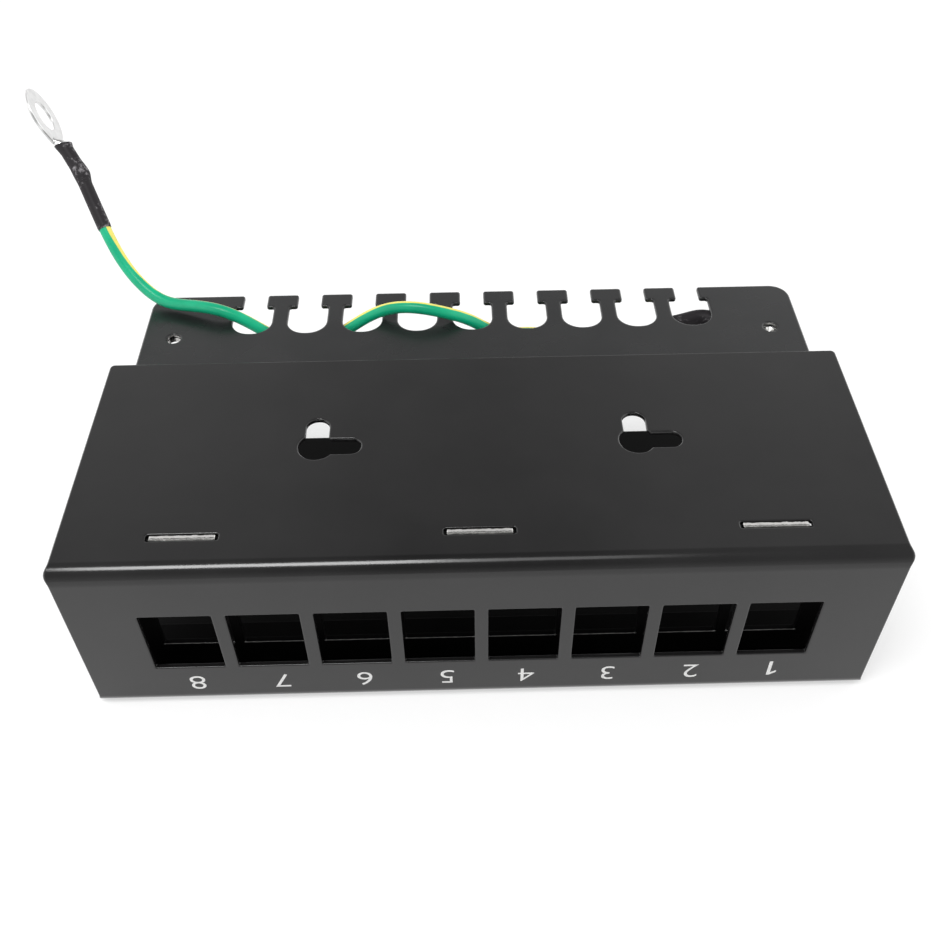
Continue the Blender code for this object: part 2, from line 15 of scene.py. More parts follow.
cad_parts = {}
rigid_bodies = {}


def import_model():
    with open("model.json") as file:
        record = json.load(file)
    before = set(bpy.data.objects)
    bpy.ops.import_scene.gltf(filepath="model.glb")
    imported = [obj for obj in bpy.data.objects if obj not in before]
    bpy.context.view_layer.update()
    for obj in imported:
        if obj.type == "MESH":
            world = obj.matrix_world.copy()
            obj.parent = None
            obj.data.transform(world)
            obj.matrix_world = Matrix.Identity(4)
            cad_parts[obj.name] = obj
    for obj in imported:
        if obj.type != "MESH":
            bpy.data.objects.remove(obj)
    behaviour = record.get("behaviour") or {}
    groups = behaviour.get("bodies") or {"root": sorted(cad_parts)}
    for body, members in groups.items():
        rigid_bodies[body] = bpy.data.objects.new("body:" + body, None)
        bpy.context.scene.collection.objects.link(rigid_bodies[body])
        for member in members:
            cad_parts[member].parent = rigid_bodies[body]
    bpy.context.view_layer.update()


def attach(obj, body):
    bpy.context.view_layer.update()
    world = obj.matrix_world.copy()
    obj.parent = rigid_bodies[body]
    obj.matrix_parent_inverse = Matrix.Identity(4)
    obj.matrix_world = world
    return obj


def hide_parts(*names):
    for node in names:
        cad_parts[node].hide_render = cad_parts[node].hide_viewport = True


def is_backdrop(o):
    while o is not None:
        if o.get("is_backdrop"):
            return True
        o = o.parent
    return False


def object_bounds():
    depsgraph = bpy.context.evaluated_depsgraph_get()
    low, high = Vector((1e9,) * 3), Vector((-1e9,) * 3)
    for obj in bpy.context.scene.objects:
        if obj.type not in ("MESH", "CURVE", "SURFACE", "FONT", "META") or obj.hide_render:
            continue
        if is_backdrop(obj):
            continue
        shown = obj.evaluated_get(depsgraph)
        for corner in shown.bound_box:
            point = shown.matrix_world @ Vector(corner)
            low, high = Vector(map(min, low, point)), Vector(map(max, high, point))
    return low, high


for leftover in list(bpy.data.objects):
    bpy.data.objects.remove(leftover)
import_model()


# Panel shell: a strip of sheet steel, punched flat with ports, keyholes and tab slots, then folded twice
# into a channel with the cover flange below and the mounting flange on top. The folds bulge a little at
# their ends. Black powder coat rounds every cut edge. The inner faces get a darker, duller copy of the
# coat, which is painted shade inside the channel.
MM = 0.001
PANEL_WIDTH, PANEL_HEIGHT = 168.0 * MM, 45.4 * MM
SHELL_SHEET, SHELL_INNER_BEND = 1.2 * MM, 2.4 * MM
MOUNT_FLANGE_DEPTH, COVER_FLANGE_DEPTH = 62.3 * MM, 82.4 * MM
FRONT_Y = -44.9 * MM
PORT_COUNT, PORT_PITCH, PORT_CORNER = 8, 17.7 * MM, 0.25 * MM
PORT_WIDTH, PORT_HEIGHT, PORT_SILL = 14.8 * MM, 17.85 * MM, 13.65 * MM
KEYHOLE_COUNT, KEYHOLE_SPACING = 2, 68.8 * MM
KEYHOLE_SETBACK, KEYHOLE_RADIUS = 34.0 * MM, 3.9 * MM
LONG_ARC_STEPS, SHORT_ARC_STEPS, SLOT_END_STEPS = 40, 4, 24
SIDE_SLOT_WIDTH, SIDE_SLOT_REACH = 4.7 * MM, 9.7 * MM
REAR_SLOT_WIDTH, REAR_SLOT_REACH = 5.1 * MM, 8.5 * MM
TAB_COUNT, TAB_PITCH = 3, 59.0 * MM
TAB_SLOT_WIDTH, TAB_SLOT_DEPTH = 14.4 * MM, 1.7 * MM
TAB_SLOT_SETBACK, TAB_SLOT_CORNER = 9.25 * MM, 0.4 * MM
SHELL_EDGE, SHELL_CORNER = 0.22 * MM, 1.1 * MM
BEND_STEPS, CORNER_STEPS = 10, 10
BULGE, BULGE_REACH = 0.6 * MM, 2.5 * MM
EDGE_BANDS, EDGE_SHOULDER = (0.6, 1.1), 0.25  # widths and drop of a rolled edge, as shares of its height
INSIDE_SKIN = 0.1 * MM
MERGE = 0.001 * MM
SHARP_COSINE = math.cos(math.radians(50))
GRAIN_SCALE, MOTTLE_SCALE = 1500.0, 45.0
MIX_DARK, MIX_LIGHT, MIX_RESULT = 6, 7, 2  # colour sockets of a Mix node


def row_of(count, pitch):
    """Centres of a row of equal pitch about zero."""
    return [(index - (count - 1) / 2) * pitch for index in range(count)]


def box_loop(u0, u1, v0, v1, corner=0.0):
    """Loop of a rectangle whose corners have one radius."""
    return [(u0, v0, corner), (u1, v0, corner), (u1, v1, corner), (u0, v1, corner)]


def arc_loop(u, v, radius, start, end, steps):
    """Points of an arc between two angles in degrees, as part of a loop."""
    angles = [math.radians(start + (end - start) * step / steps) for step in range(steps + 1)]
    return [(u + radius * math.cos(turn), v + radius * math.sin(turn), 0.0) for turn in angles]


def only(kind, items):
    """Items of one bmesh kind out of an operator's result."""
    return [item for item in items if isinstance(item, kind)]


def inset_border(sheet, faces, width):
    """Set of the narrow faces let in along the border of a sheet's faces."""
    made = bmesh.ops.inset_region(
        sheet, faces=faces, use_boundary=True, use_even_offset=True, thickness=width
    )
    return set(made["faces"])


def cut_sheet(loops, thickness, edge):
    """Flat sheet about z = 0, cut to loops of (u, v, corner radius), its edges rolled over by the cut."""
    sheet = bmesh.new()
    flat = sheet.faces.layers.int.new("flat")
    corners = {}
    for loop in loops:
        spots = [sheet.verts.new((u, v, 0.0)) for u, v, _ in loop]
        for pair in zip(spots, spots[1:] + spots[:1]):
            sheet.edges.new(pair)
        for spot, (_, _, radius) in zip(spots, loop):
            corners.setdefault(radius, []).append(spot)
    corners.pop(0.0, None)
    for radius, spots in corners.items():
        bmesh.ops.bevel(
            sheet,
            geom=spots,
            offset=radius,
            segments=CORNER_STEPS,
            profile=0.5,
            affect="VERTICES",
            material=-1,
        )
    bmesh.ops.triangle_fill(sheet, use_beauty=True, edges=sheet.edges[:], normal=(0, 0, 1))
    outer = inset_border(sheet, sheet.faces[:], EDGE_BANDS[0] * edge)
    rest = [face for face in sheet.faces if face not in outer]
    inner = inset_border(sheet, rest, EDGE_BANDS[1] * edge)
    middle = {spot for face in outer for spot in face.verts if not spot.is_boundary}
    for face in sheet.faces:
        face[flat] = 0 if face in outer or face in inner else 1
    for spot in sheet.verts:
        drop = edge if spot.is_boundary else EDGE_SHOULDER * edge if spot in middle else 0.0
        spot.co.z = thickness / 2 - drop
    upper_rim = [line for line in sheet.edges if line.is_boundary]
    lower = bmesh.ops.duplicate(sheet, geom=sheet.verts[:] + sheet.edges[:] + sheet.faces[:])["geom"]
    bmesh.ops.scale(sheet, verts=only(bmesh.types.BMVert, lower), vec=(1, 1, -1))
    bmesh.ops.reverse_faces(sheet, faces=only(bmesh.types.BMFace, lower))
    wall = bmesh.ops.extrude_edge_only(sheet, edges=upper_rim)["geom"]
    bmesh.ops.translate(sheet, verts=only(bmesh.types.BMVert, wall), vec=(0, 0, 2 * edge - thickness))
    bmesh.ops.remove_doubles(sheet, verts=sheet.verts[:], dist=MERGE)
    return sheet


def cut_across(sheet, places):
    """Cuts a flat sheet by planes square to its Y, so that it can bend there."""
    along = Vector((0, 1, 0))
    for place in places:
        everything = sheet.verts[:] + sheet.edges[:] + sheet.faces[:]
        bmesh.ops.bisect_plane(sheet, geom=everything, plane_co=along * place, plane_no=along)


def mark_bent(sheet, bent):
    """Marks the faces of a flat sheet that are going to be bent as no longer flat."""
    flat = sheet.faces.layers.int["flat"]
    for face in sheet.faces:
        if bent(face.calc_center_median().y):
            face[flat] = 0


def corner_normals(model):
    """Normal of every face corner: true on flat faces, elsewhere smooth up to them and to sharp edges."""
    flat = model.faces.layers.int.get("flat")
    normals = []
    for face in model.faces:
        for spot in face.verts:
            near = [other for other in spot.link_faces if other.normal.dot(face.normal) > SHARP_COSINE]
            flats = [other for other in near if flat and other[flat]]
            if flat and face[flat]:
                near = [face]
            elif flats:
                near = flats
            total = sum((other.normal * other.calc_area() for other in near), Vector())
            normals.append(total.normalized())
    return normals


def finished_mesh(name, model):
    """Mesh made from a bmesh, which is freed."""
    mesh = bpy.data.meshes.new(name)
    model.to_mesh(mesh)
    model.free()
    return mesh


def link_object(name, data):
    """Object in the scene that holds a mesh, a lamp, a camera or a text."""
    made = bpy.data.objects.new(name, data)
    bpy.context.scene.collection.objects.link(made)
    return made


def add_piece(name, model, materials, slot, *nodes):
    """Finished piece from a bmesh, smooth but with its flat faces kept flat, in place of CAD nodes."""
    bmesh.ops.recalc_face_normals(model, faces=model.faces[:])
    model.normal_update()
    for face in model.faces:
        face.smooth = True
    normals = corner_normals(model)
    mesh = finished_mesh(name, model)
    mesh.normals_split_custom_set(normals)
    for material in materials:
        mesh.materials.append(material)
    piece = link_object(name, mesh)
    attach(piece, "root")
    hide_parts(*nodes)
    return piece


def add_node(tree, kind, inputs, **settings):
    """Node of a kind with its settings; an input is a value or the output that feeds it."""
    node = tree.nodes.new(kind)
    for name, value in settings.items():
        setattr(node, name, value)
    for name, value in inputs.items():
        if isinstance(value, bpy.types.NodeSocket):
            tree.links.new(value, node.inputs[name])
        else:
            node.inputs[name].default_value = value
    return node


def new_material(name, roughness, metallic, shine=0.5):
    """Principled material whose constant values sit on the shader's own sockets."""
    material = bpy.data.materials.new(name)
    material.use_nodes = True
    tree = material.node_tree
    shader = tree.nodes["Principled BSDF"]
    shader.inputs["Roughness"].default_value = roughness
    shader.inputs["Metallic"].default_value = metallic
    shader.inputs["Specular IOR Level"].default_value = shine
    return material, tree, shader


def graded(tree, value, low, high, first=0.0, last=1.0):
    """Value that goes from first to last as another goes from low to high."""
    limits = {"From Min": low, "From Max": high, "To Min": first, "To Max": last}
    return add_node(tree, "ShaderNodeMapRange", {"Value": value, **limits}).outputs["Result"]


def ramp(tree, factor, low, high, dark, light):
    """Colour that goes from dark, which can be an output, to light as a factor goes from low to high."""
    share = graded(tree, factor, low, high)
    mix = add_node(tree, "ShaderNodeMix", {"Factor": share}, data_type="RGBA")
    if isinstance(dark, bpy.types.NodeSocket):
        tree.links.new(dark, mix.inputs[MIX_DARK])
    else:
        mix.inputs[MIX_DARK].default_value = (*dark, 1.0)
    mix.inputs[MIX_LIGHT].default_value = (*light, 1.0)
    return mix.outputs[MIX_RESULT]


def speckle(tree, scale, detail, roughness=0.5):
    """Noise from 0 to 1 that is fixed to the piece."""
    where = add_node(tree, "ShaderNodeTexCoord", {}).outputs["Object"]
    inputs = {"Vector": where, "Scale": scale, "Detail": detail, "Roughness": roughness}
    return add_node(tree, "ShaderNodeTexNoise", inputs).outputs["Fac"]


def roughen(tree, shader, height, strength, depth):
    """Bumps the surface of a shader by a height from 0 to 1."""
    bump = add_node(tree, "ShaderNodeBump", {"Height": height, "Strength": strength, "Distance": depth})
    tree.links.new(bump.outputs["Normal"], shader.inputs["Normal"])


coat_grain = bpy.data.node_groups.new("powder_coat_grain", "ShaderNodeTree")
for socket in ("Grain Scale", "Mottle Scale"):
    coat_grain.interface.new_socket(socket, in_out="INPUT", socket_type="NodeSocketFloat")
for socket in ("Height", "Mottle"):
    coat_grain.interface.new_socket(socket, in_out="OUTPUT", socket_type="NodeSocketFloat")
scales = coat_grain.nodes.new("NodeGroupInput").outputs
peel = speckle(coat_grain, scales["Grain Scale"], detail=2.0, roughness=0.55)
cloud = speckle(coat_grain, scales["Mottle Scale"], detail=3.0, roughness=0.6)
add_node(coat_grain, "NodeGroupOutput", {"Height": peel, "Mottle": cloud})


def powder_coat(name, dark, light, rough_low, rough_high, shine=0.5):
    """Black powder coat: fine orange peel, and slow changes of tone and gloss."""
    material, tree, shader = new_material(name, rough_low, 0.0, shine)
    scales = {"Grain Scale": GRAIN_SCALE, "Mottle Scale": MOTTLE_SCALE}
    grain = add_node(tree, "ShaderNodeGroup", scales, node_tree=coat_grain).outputs
    tone = ramp(tree, grain["Mottle"], low=0.35, high=0.65, dark=dark, light=light)
    tree.links.new(tone, shader.inputs["Base Color"])
    gloss = graded(tree, grain["Mottle"], low=0.3, high=0.7, first=rough_low, last=rough_high)
    tree.links.new(gloss, shader.inputs["Roughness"])
    roughen(tree, shader, grain["Height"], strength=0.035, depth=0.15 * MM)
    return material


shell_coat = powder_coat(
    "shell_coat",
    dark=(0.0080, 0.0078, 0.0080),
    light=(0.0105, 0.0102, 0.0104),
    rough_low=0.15,
    rough_high=0.18,
)
# Painted shade: a darker, duller copy of the coat for the inner faces, where shade falls inside the
# channel.
inside_painted_shade = powder_coat(
    "inside_painted_shade",
    dark=(0.0034, 0.0033, 0.0034),
    light=(0.0046, 0.0045, 0.0046),
    rough_low=0.50,
    rough_high=0.60,
    shine=0.07,
)

mid_bend = SHELL_INNER_BEND + SHELL_SHEET / 2
outer_bend = SHELL_INNER_BEND + SHELL_SHEET
half_front = PANEL_HEIGHT / 2 - outer_bend
bend_length = math.pi / 2 * mid_bend
bend_y = FRONT_Y + outer_bend
flange_start = half_front + bend_length


def on_flange(setback):
    """Blank coordinate of a place on a flange at a setback from the front."""
    return flange_start + setback - outer_bend


def keyhole_loop(x):
    """Loop of a screw hole with a round-ended slot to +X and another to the rear."""
    y = on_flange(KEYHOLE_SETBACK)
    side, rear = SIDE_SLOT_WIDTH / 2, REAR_SLOT_WIDTH / 2
    side_turn = math.degrees(math.asin(side / KEYHOLE_RADIUS))
    rear_turn = math.degrees(math.asin(rear / KEYHOLE_RADIUS))
    loop = arc_loop(x, y, KEYHOLE_RADIUS, 90 + rear_turn, 360 - side_turn, LONG_ARC_STEPS)
    loop += arc_loop(x + SIDE_SLOT_REACH - side, y, side, -90, 90, SLOT_END_STEPS)
    loop += arc_loop(x, y, KEYHOLE_RADIUS, side_turn, 90 - rear_turn, SHORT_ARC_STEPS)
    loop += arc_loop(x, y + REAR_SLOT_REACH - rear, rear, 0, 180, SLOT_END_STEPS)
    return loop


half_width, half_port, half_slot = PANEL_WIDTH / 2, PORT_WIDTH / 2, TAB_SLOT_WIDTH / 2
blank_ends = -on_flange(COVER_FLANGE_DEPTH), on_flange(MOUNT_FLANGE_DEPTH)
shell_loops = [box_loop(-half_width, half_width, *blank_ends, SHELL_CORNER)]
low = PORT_SILL - PANEL_HEIGHT / 2
for x in row_of(PORT_COUNT, PORT_PITCH):
    shell_loops.append(box_loop(x - half_port, x + half_port, low, low + PORT_HEIGHT, PORT_CORNER))
for x in row_of(KEYHOLE_COUNT, KEYHOLE_SPACING):
    shell_loops.append(keyhole_loop(x))
near = on_flange(TAB_SLOT_SETBACK) - TAB_SLOT_DEPTH / 2
far = near + TAB_SLOT_DEPTH
for x in row_of(TAB_COUNT, TAB_PITCH):
    shell_loops.append(box_loop(x - half_slot, x + half_slot, near, far, TAB_SLOT_CORNER))

shell = cut_sheet(shell_loops, SHELL_SHEET, SHELL_EDGE)
bend_places = [half_front + bend_length * step / BEND_STEPS for step in range(BEND_STEPS + 1)]
cut_across(shell, bend_places + [-place for place in bend_places])
mark_bent(shell, lambda along: half_front < abs(along) < flange_start)
# The inner faces of the sheet take the darker coat as painted shade.
for face in shell.faces:
    if face.calc_center_median().z < INSIDE_SKIN - SHELL_SHEET / 2:
        face.material_index = 1
for spot in shell.verts:
    x, along, out = spot.co
    side = math.copysign(1.0, along)
    past = abs(along) - half_front
    corner_z = PANEL_HEIGHT / 2 + side * half_front
    radius = mid_bend + out
    if past <= 0.0:
        spot.co = (x, bend_y - radius, PANEL_HEIGHT / 2 + along)
    elif past < bend_length:
        turn = past / mid_bend
        near_end = max(0.0, 1.0 - (half_width - abs(x)) / BULGE_REACH)
        x += math.copysign(BULGE * math.sin(2 * turn) ** 2 * near_end, x)
        spot.co = (x, bend_y - radius * math.cos(turn), corner_z + side * radius * math.sin(turn))
    else:
        spot.co = (x, bend_y + past - bend_length, corner_z + side * radius)
add_piece("shell_folded", shell, [shell_coat, inside_painted_shade], "shell_coat", "panel_shell")


# Keystone bracket: a second steel sheet behind the front with a window for each jack, folded to a foot
# on the cover flange. It is coated black too, darker and duller than the shell as painted shade inside
# the channel. The front rounding of each window sill is bare steel, which paints a thin light line there
# as a painted highlight. Three tabs stand up through the mounting flange and are staked there, which
# leaves their ends bare and rough.
BRACKET_SHEET, BRACKET_INNER_BEND, BRACKET_EDGE = 1.5 * MM, 0.7 * MM, 0.2 * MM
BRACKET_WIDTH, BRACKET_SETBACK, BRACKET_FOOT = 158.0 * MM, 8.5 * MM, 11.0 * MM
BRACKET_BOTTOM, BRACKET_SHOULDER = 1.5 * MM, 43.9 * MM
FOOT_CORNER, SHOULDER_CORNER = 1.0 * MM, 0.6 * MM
WINDOW_WIDTH, WINDOW_HEIGHT = 15.4 * MM, 23.2 * MM
WINDOW_SILL, WINDOW_CORNER = 10.4 * MM, 0.4 * MM
TAB_WIDTH, TAB_CORNER, TAB_END_DEPTH = 13.2 * MM, 0.3 * MM, 0.3 * MM
TAB_END_LINE, TAB_END_CUTS = 2 * MM, 23
STAKE_DEPTH, STAKE_DENT, STAKE_DENT_SCALE, STAKE_DENT_SEED = 0.5 * MM, 0.12 * MM, 900.0, 3.0
STAKE_HALF_BAND, STAKE_COAT_EDGE = 0.42 * MM, 0.54 * MM
STAKE_GROOVE, STAKE_GROOVE_SIDE, STAKE_RAGGED = 0.20 * MM, 0.24 * MM, 0.60 * MM


def bare_metal(name, dark, light, scale, roughness, relief):
    """Bare or plated metal whose tone and surface vary finely."""
    material, tree, shader = new_material(name, roughness, 1.0)
    texture = speckle(tree, scale, detail=4.0, roughness=0.65)
    tone = ramp(tree, texture, low=0.36, high=0.60, dark=dark, light=light)
    tree.links.new(tone, shader.inputs["Base Color"])
    roughen(tree, shader, texture, relief, depth=0.1 * MM)
    return material


def combine(tree, operation, *values):
    """Result of one step of arithmetic on values or outputs."""
    return add_node(tree, "ShaderNodeMath", dict(enumerate(values)), operation=operation).outputs["Value"]


# The bracket's black coat, made darker and duller than the shell's as painted shade inside the channel.
bracket_coat = powder_coat(
    "bracket_coat",
    dark=(0.0030, 0.0029, 0.0030),
    light=(0.0040, 0.0039, 0.0040),
    rough_low=0.45,
    rough_high=0.52,
    shine=0.03,
)
# Bare steel on the front rounding of the window sills. It is lighter than the coat, and it paints the
# thin light line on each sill as a painted highlight.
sill_steel_and_highlight = bare_metal(
    "sill_steel_and_highlight",
    dark=(0.20, 0.20, 0.20),
    light=(0.36, 0.36, 0.35),
    scale=900.0,
    roughness=0.45,
    relief=0.2,
)
staked_metal, tree, shader = new_material("staked_metal", roughness=0.38, metallic=1.0)
scores = speckle(tree, scale=1300.0, detail=4.0, roughness=0.7)
where = add_node(tree, "ShaderNodeTexCoord", {}).outputs["Object"]
across = add_node(tree, "ShaderNodeSeparateXYZ", {"Vector": where}).outputs["Y"]
ragged = combine(tree, "MULTIPLY_ADD", scores, STAKE_RAGGED, across)


def far_from(line, near, far):
    """Share from 0 to 1 of how far the ragged coordinate across a tab is from a line along it."""
    gap = combine(tree, "SUBTRACT", ragged, line + STAKE_RAGGED / 2)
    return graded(tree, combine(tree, "ABSOLUTE", gap), near, far)


bracket_y = FRONT_Y + BRACKET_SETBACK + BRACKET_SHEET / 2
bare = combine(tree, "SUBTRACT", 1.0, far_from(bracket_y, STAKE_HALF_BAND, STAKE_COAT_EDGE))
scored = far_from(bracket_y - STAKE_GROOVE_SIDE, 0.0, STAKE_GROOVE)
share = combine(tree, "MULTIPLY", bare, scored)
tone = ramp(tree, share, low=0.1, high=0.9, dark=(0.10, 0.10, 0.095), light=(0.82, 0.81, 0.79))
tree.links.new(tone, shader.inputs["Base Color"])
roughen(tree, shader, scores, strength=0.4, depth=0.1 * MM)

foot_bend = BRACKET_INNER_BEND + BRACKET_SHEET / 2
foot_bend_length = math.pi / 2 * foot_bend
foot_bend_z = BRACKET_BOTTOM + BRACKET_SHEET + BRACKET_INNER_BEND
foot_length = BRACKET_FOOT - BRACKET_SHEET - BRACKET_INNER_BEND
blank_bottom = foot_bend_z - foot_bend_length - foot_length
half_width, half_window, half_tab = BRACKET_WIDTH / 2, WINDOW_WIDTH / 2, TAB_WIDTH / 2
window_top = WINDOW_SILL + WINDOW_HEIGHT
outline = [(-half_width, blank_bottom, FOOT_CORNER), (half_width, blank_bottom, FOOT_CORNER)]
outline.append((half_width, BRACKET_SHOULDER, SHOULDER_CORNER))
for x in reversed(row_of(TAB_COUNT, TAB_PITCH)):
    left, right = x - half_tab, x + half_tab
    outline += [(right, BRACKET_SHOULDER, 0.0), (right, PANEL_HEIGHT, TAB_CORNER)]
    outline += [(left, PANEL_HEIGHT, TAB_CORNER), (left, BRACKET_SHOULDER, 0.0)]
outline.append((-half_width, BRACKET_SHOULDER, SHOULDER_CORNER))
bracket_loops = [outline]
for x in row_of(PORT_COUNT, PORT_PITCH):
    left, right = x - half_window, x + half_window
    bracket_loops.append(box_loop(left, right, WINDOW_SILL, window_top, WINDOW_CORNER))
bracket = cut_sheet(bracket_loops, BRACKET_SHEET, BRACKET_EDGE)
flat = bracket.faces.layers.int["flat"]
# The front rounding of each sill takes the bare steel, a painted highlight line.
for face in bracket.faces:
    _, height, out = face.calc_center_median()
    on_sill = abs(height - WINDOW_SILL) < BRACKET_EDGE
    if not face[flat] and on_sill and out > BRACKET_SHEET / 2 - BRACKET_EDGE:
        face.material_index = 2
foot_places = [foot_bend_z - foot_bend_length * step / BEND_STEPS for step in range(BEND_STEPS + 1)]
cut_across(bracket, foot_places)
mark_bent(bracket, lambda height: foot_places[-1] < height < foot_places[0])
tab_end = PANEL_HEIGHT - TAB_END_DEPTH
tab_ends = [face for face in bracket.faces if face.calc_center_median().y > tab_end]
end_lines = {line for face in tab_ends for line in face.edges}
long_lines = [line for line in end_lines if line.calc_length() > TAB_END_LINE]
bmesh.ops.subdivide_edges(bracket, edges=long_lines, cuts=TAB_END_CUTS)
bmesh.ops.triangulate(bracket, faces=[face for face in bracket.faces if len(face.verts) > 4])
for spot in bracket.verts:
    x, height, out = spot.co
    if height > tab_end:
        rough = noise.noise((x * STAKE_DENT_SCALE, out * STAKE_DENT_SCALE, STAKE_DENT_SEED))
        height -= STAKE_DENT * (1.0 + rough)
    fallen = foot_bend_z - height
    radius = foot_bend + out
    if fallen <= 0.0:
        spot.co = (x, bracket_y - out, height)
    elif fallen < foot_bend_length:
        turn = fallen / foot_bend
        rear = bracket_y + foot_bend - radius * math.cos(turn)
        spot.co = (x, rear, foot_bend_z - radius * math.sin(turn))
    else:
        spot.co = (x, bracket_y + foot_bend + fallen - foot_bend_length, foot_bend_z - foot_bend - out)
for face in bracket.faces:
    if face.calc_center_median().z > PANEL_HEIGHT - STAKE_DEPTH:
        face.material_index = 1
coats = [bracket_coat, staked_metal, sill_steel_and_highlight]
add_piece("bracket_staked", bracket, coats, "bracket_coat", "keystone_bracket")


# Cable-tie plate: a flat sheet spot-welded under the mounting flange, its rear edge cut into T-shaped
# lugs that hold cable ties. Its black coat is the shell's, made a little lighter as painted light on the
# plate. The earth hole near each end is tapped after coating, so its thread is bare metal; the open one
# has a drawn collar below.
TIE_SHEET, TIE_EDGE, TIE_WIDTH, TIE_TOP = 1.2 * MM, 0.3 * MM, 158.0 * MM, 43.9 * MM
TIE_FRONT_Y, TIE_REAR_Y = 1.4 * MM, 44.9 * MM
TIE_FRONT_CORNER, TIE_REAR_CORNER = 1.0 * MM, 4.5 * MM
LUG_COUNT, LUG_PITCH = 8, 13.41 * MM
LUG_HEAD_WIDTH, LUG_HEAD_DEPTH, LUG_STEM_WIDTH = 7.6 * MM, 4.7 * MM, 3.8 * MM
SLOT_DEPTH, SLOT_ROUND, LUG_CORNER = 15.0 * MM, 4.5 * MM, 0.6 * MM
EARTH_HOLE_X, EARTH_HOLE_Y, EARTH_HOLE_RADIUS = 71.7 * MM, 28.5 * MM, 1.65 * MM
THREAD_SKIN = 0.05 * MM
COLLAR_WALL, COLLAR_DROP = 0.6 * MM, 1.1 * MM
TURN_STEPS = 48


def circle_loop(u, v, radius, steps):
    """Loop of a full circle."""
    return arc_loop(u, v, radius, 0, 360 - 360 / steps, steps - 1)


def turned(profile, centre, start, sweep):
    """Body of revolution about an upright axis, from (radius, height) points."""
    body = bmesh.new()
    way = Vector((math.cos(start), math.sin(start), 0.0))
    spots = [body.verts.new(centre + way * radius + Vector((0, 0, height))) for radius, height in profile]
    lines = [body.edges.new(pair) for pair in zip(spots, spots[1:])]
    full = sweep >= math.tau
    swept = bmesh.ops.spin(
        body,
        geom=spots + lines,
        cent=centre,
        axis=(0, 0, 1),
        angle=sweep,
        steps=TURN_STEPS,
        use_merge=full,
    )
    if not full:
        bmesh.ops.contextual_create(body, geom=lines)
        bmesh.ops.contextual_create(body, geom=only(bmesh.types.BMEdge, swept["geom_last"]))
    bmesh.ops.remove_doubles(body, verts=body.verts[:], dist=MERGE)
    return body


def take_in(model, other):
    """Moves the faces of another bmesh into a model."""
    mesh = finished_mesh("taken", other)
    model.from_mesh(mesh)
    bpy.data.meshes.remove(mesh)


# The shell's black coat, slightly bluish and made lighter as painted light on the plate.
tie_coat = powder_coat(
    "tie_coat",
    dark=(0.0105, 0.0108, 0.0112),
    light=(0.0140, 0.0143, 0.0148),
    rough_low=0.24,
    rough_high=0.30,
)
bare_thread = bare_metal(
    "bare_thread",
    dark=(0.34, 0.33, 0.32),
    light=(0.62, 0.61, 0.60),
    scale=2500.0,
    roughness=0.3,
    relief=0.3,
)

half_width = TIE_WIDTH / 2
mouth, inside = (LUG_PITCH - LUG_HEAD_WIDTH) / 2, (LUG_PITCH - LUG_STEM_WIDTH) / 2
neck_y, bottom_y = TIE_REAR_Y - LUG_HEAD_DEPTH, TIE_REAR_Y - SLOT_DEPTH
outline = [(-half_width, TIE_FRONT_Y, TIE_FRONT_CORNER), (half_width, TIE_FRONT_Y, TIE_FRONT_CORNER)]
outline.append((half_width, TIE_REAR_Y, TIE_REAR_CORNER))
for x in reversed(row_of(LUG_COUNT + 1, LUG_PITCH)):
    right_side = [
        (x + mouth, TIE_REAR_Y, LUG_CORNER),
        (x + mouth, neck_y, LUG_CORNER),
        (x + inside, neck_y, LUG_CORNER),
        (x + inside, bottom_y, SLOT_ROUND),
    ]
    outline += right_side
    outline += [(2 * x - u, v, corner) for u, v, corner in reversed(right_side)]
outline.append((-half_width, TIE_REAR_Y, TIE_REAR_CORNER))
tie_loops = [outline]
for x in (-EARTH_HOLE_X, EARTH_HOLE_X):
    tie_loops.append(circle_loop(x, EARTH_HOLE_Y, EARTH_HOLE_RADIUS, TURN_STEPS))
tie_plate = cut_sheet(tie_loops, TIE_SHEET, TIE_EDGE)
bmesh.ops.translate(tie_plate, verts=tie_plate.verts[:], vec=(0, 0, TIE_TOP - TIE_SHEET / 2))
collar_top, collar_radius = TIE_TOP - TIE_SHEET, EARTH_HOLE_RADIUS + COLLAR_WALL
collar_bottom = collar_top - COLLAR_DROP
collar = [
    (EARTH_HOLE_RADIUS, collar_top),
    (EARTH_HOLE_RADIUS, collar_bottom),
    (collar_radius, collar_bottom),
    (collar_radius, collar_top),
    (EARTH_HOLE_RADIUS, collar_top),
]
take_in(tie_plate, turned(collar, Vector((-EARTH_HOLE_X, EARTH_HOLE_Y, 0.0)), 0.0, math.tau))
for face in tie_plate.faces:
    centre = face.calc_center_median()
    reach = math.hypot(abs(centre.x) - EARTH_HOLE_X, centre.y - EARTH_HOLE_Y)
    if reach < EARTH_HOLE_RADIUS + THREAD_SKIN:
        face.material_index = 1
add_piece("tie_plate_comb", tie_plate, [tie_coat, bare_thread], "tie_coat", "cable_tie_plate")


# Port numbers: white ink, screen-printed on the front below each port. They read the right way up when
# the panel hangs by its mounting flange, and count from right to left as it lies here.
DIGIT_HEIGHT, DIGIT_STRETCH = 5.1 * MM, 1.12
DIGIT_FONT_SHARE = 0.72  # height of a digit in a font of size 1
DIGIT_INK, DIGIT_CORNER, DIGIT_THINNING = 0.03 * MM, 0.12 * MM, 0.06 * MM
DIGIT_CENTRE_Z = 8.2 * MM
ONE_OUTLINE = [
    (-0.06, -0.5),
    (0.07, -0.5),
    (0.07, 0.5),
    (-0.03, 0.5),
    (-0.28, 0.31),
    (-0.28, 0.17),
    (-0.06, 0.32),
]
DIGIT_PLACES = [62.7, 45.4, 27.3, 9.55, -7.5, -25.3, -43.1, -61.4]  # millimetres from the middle

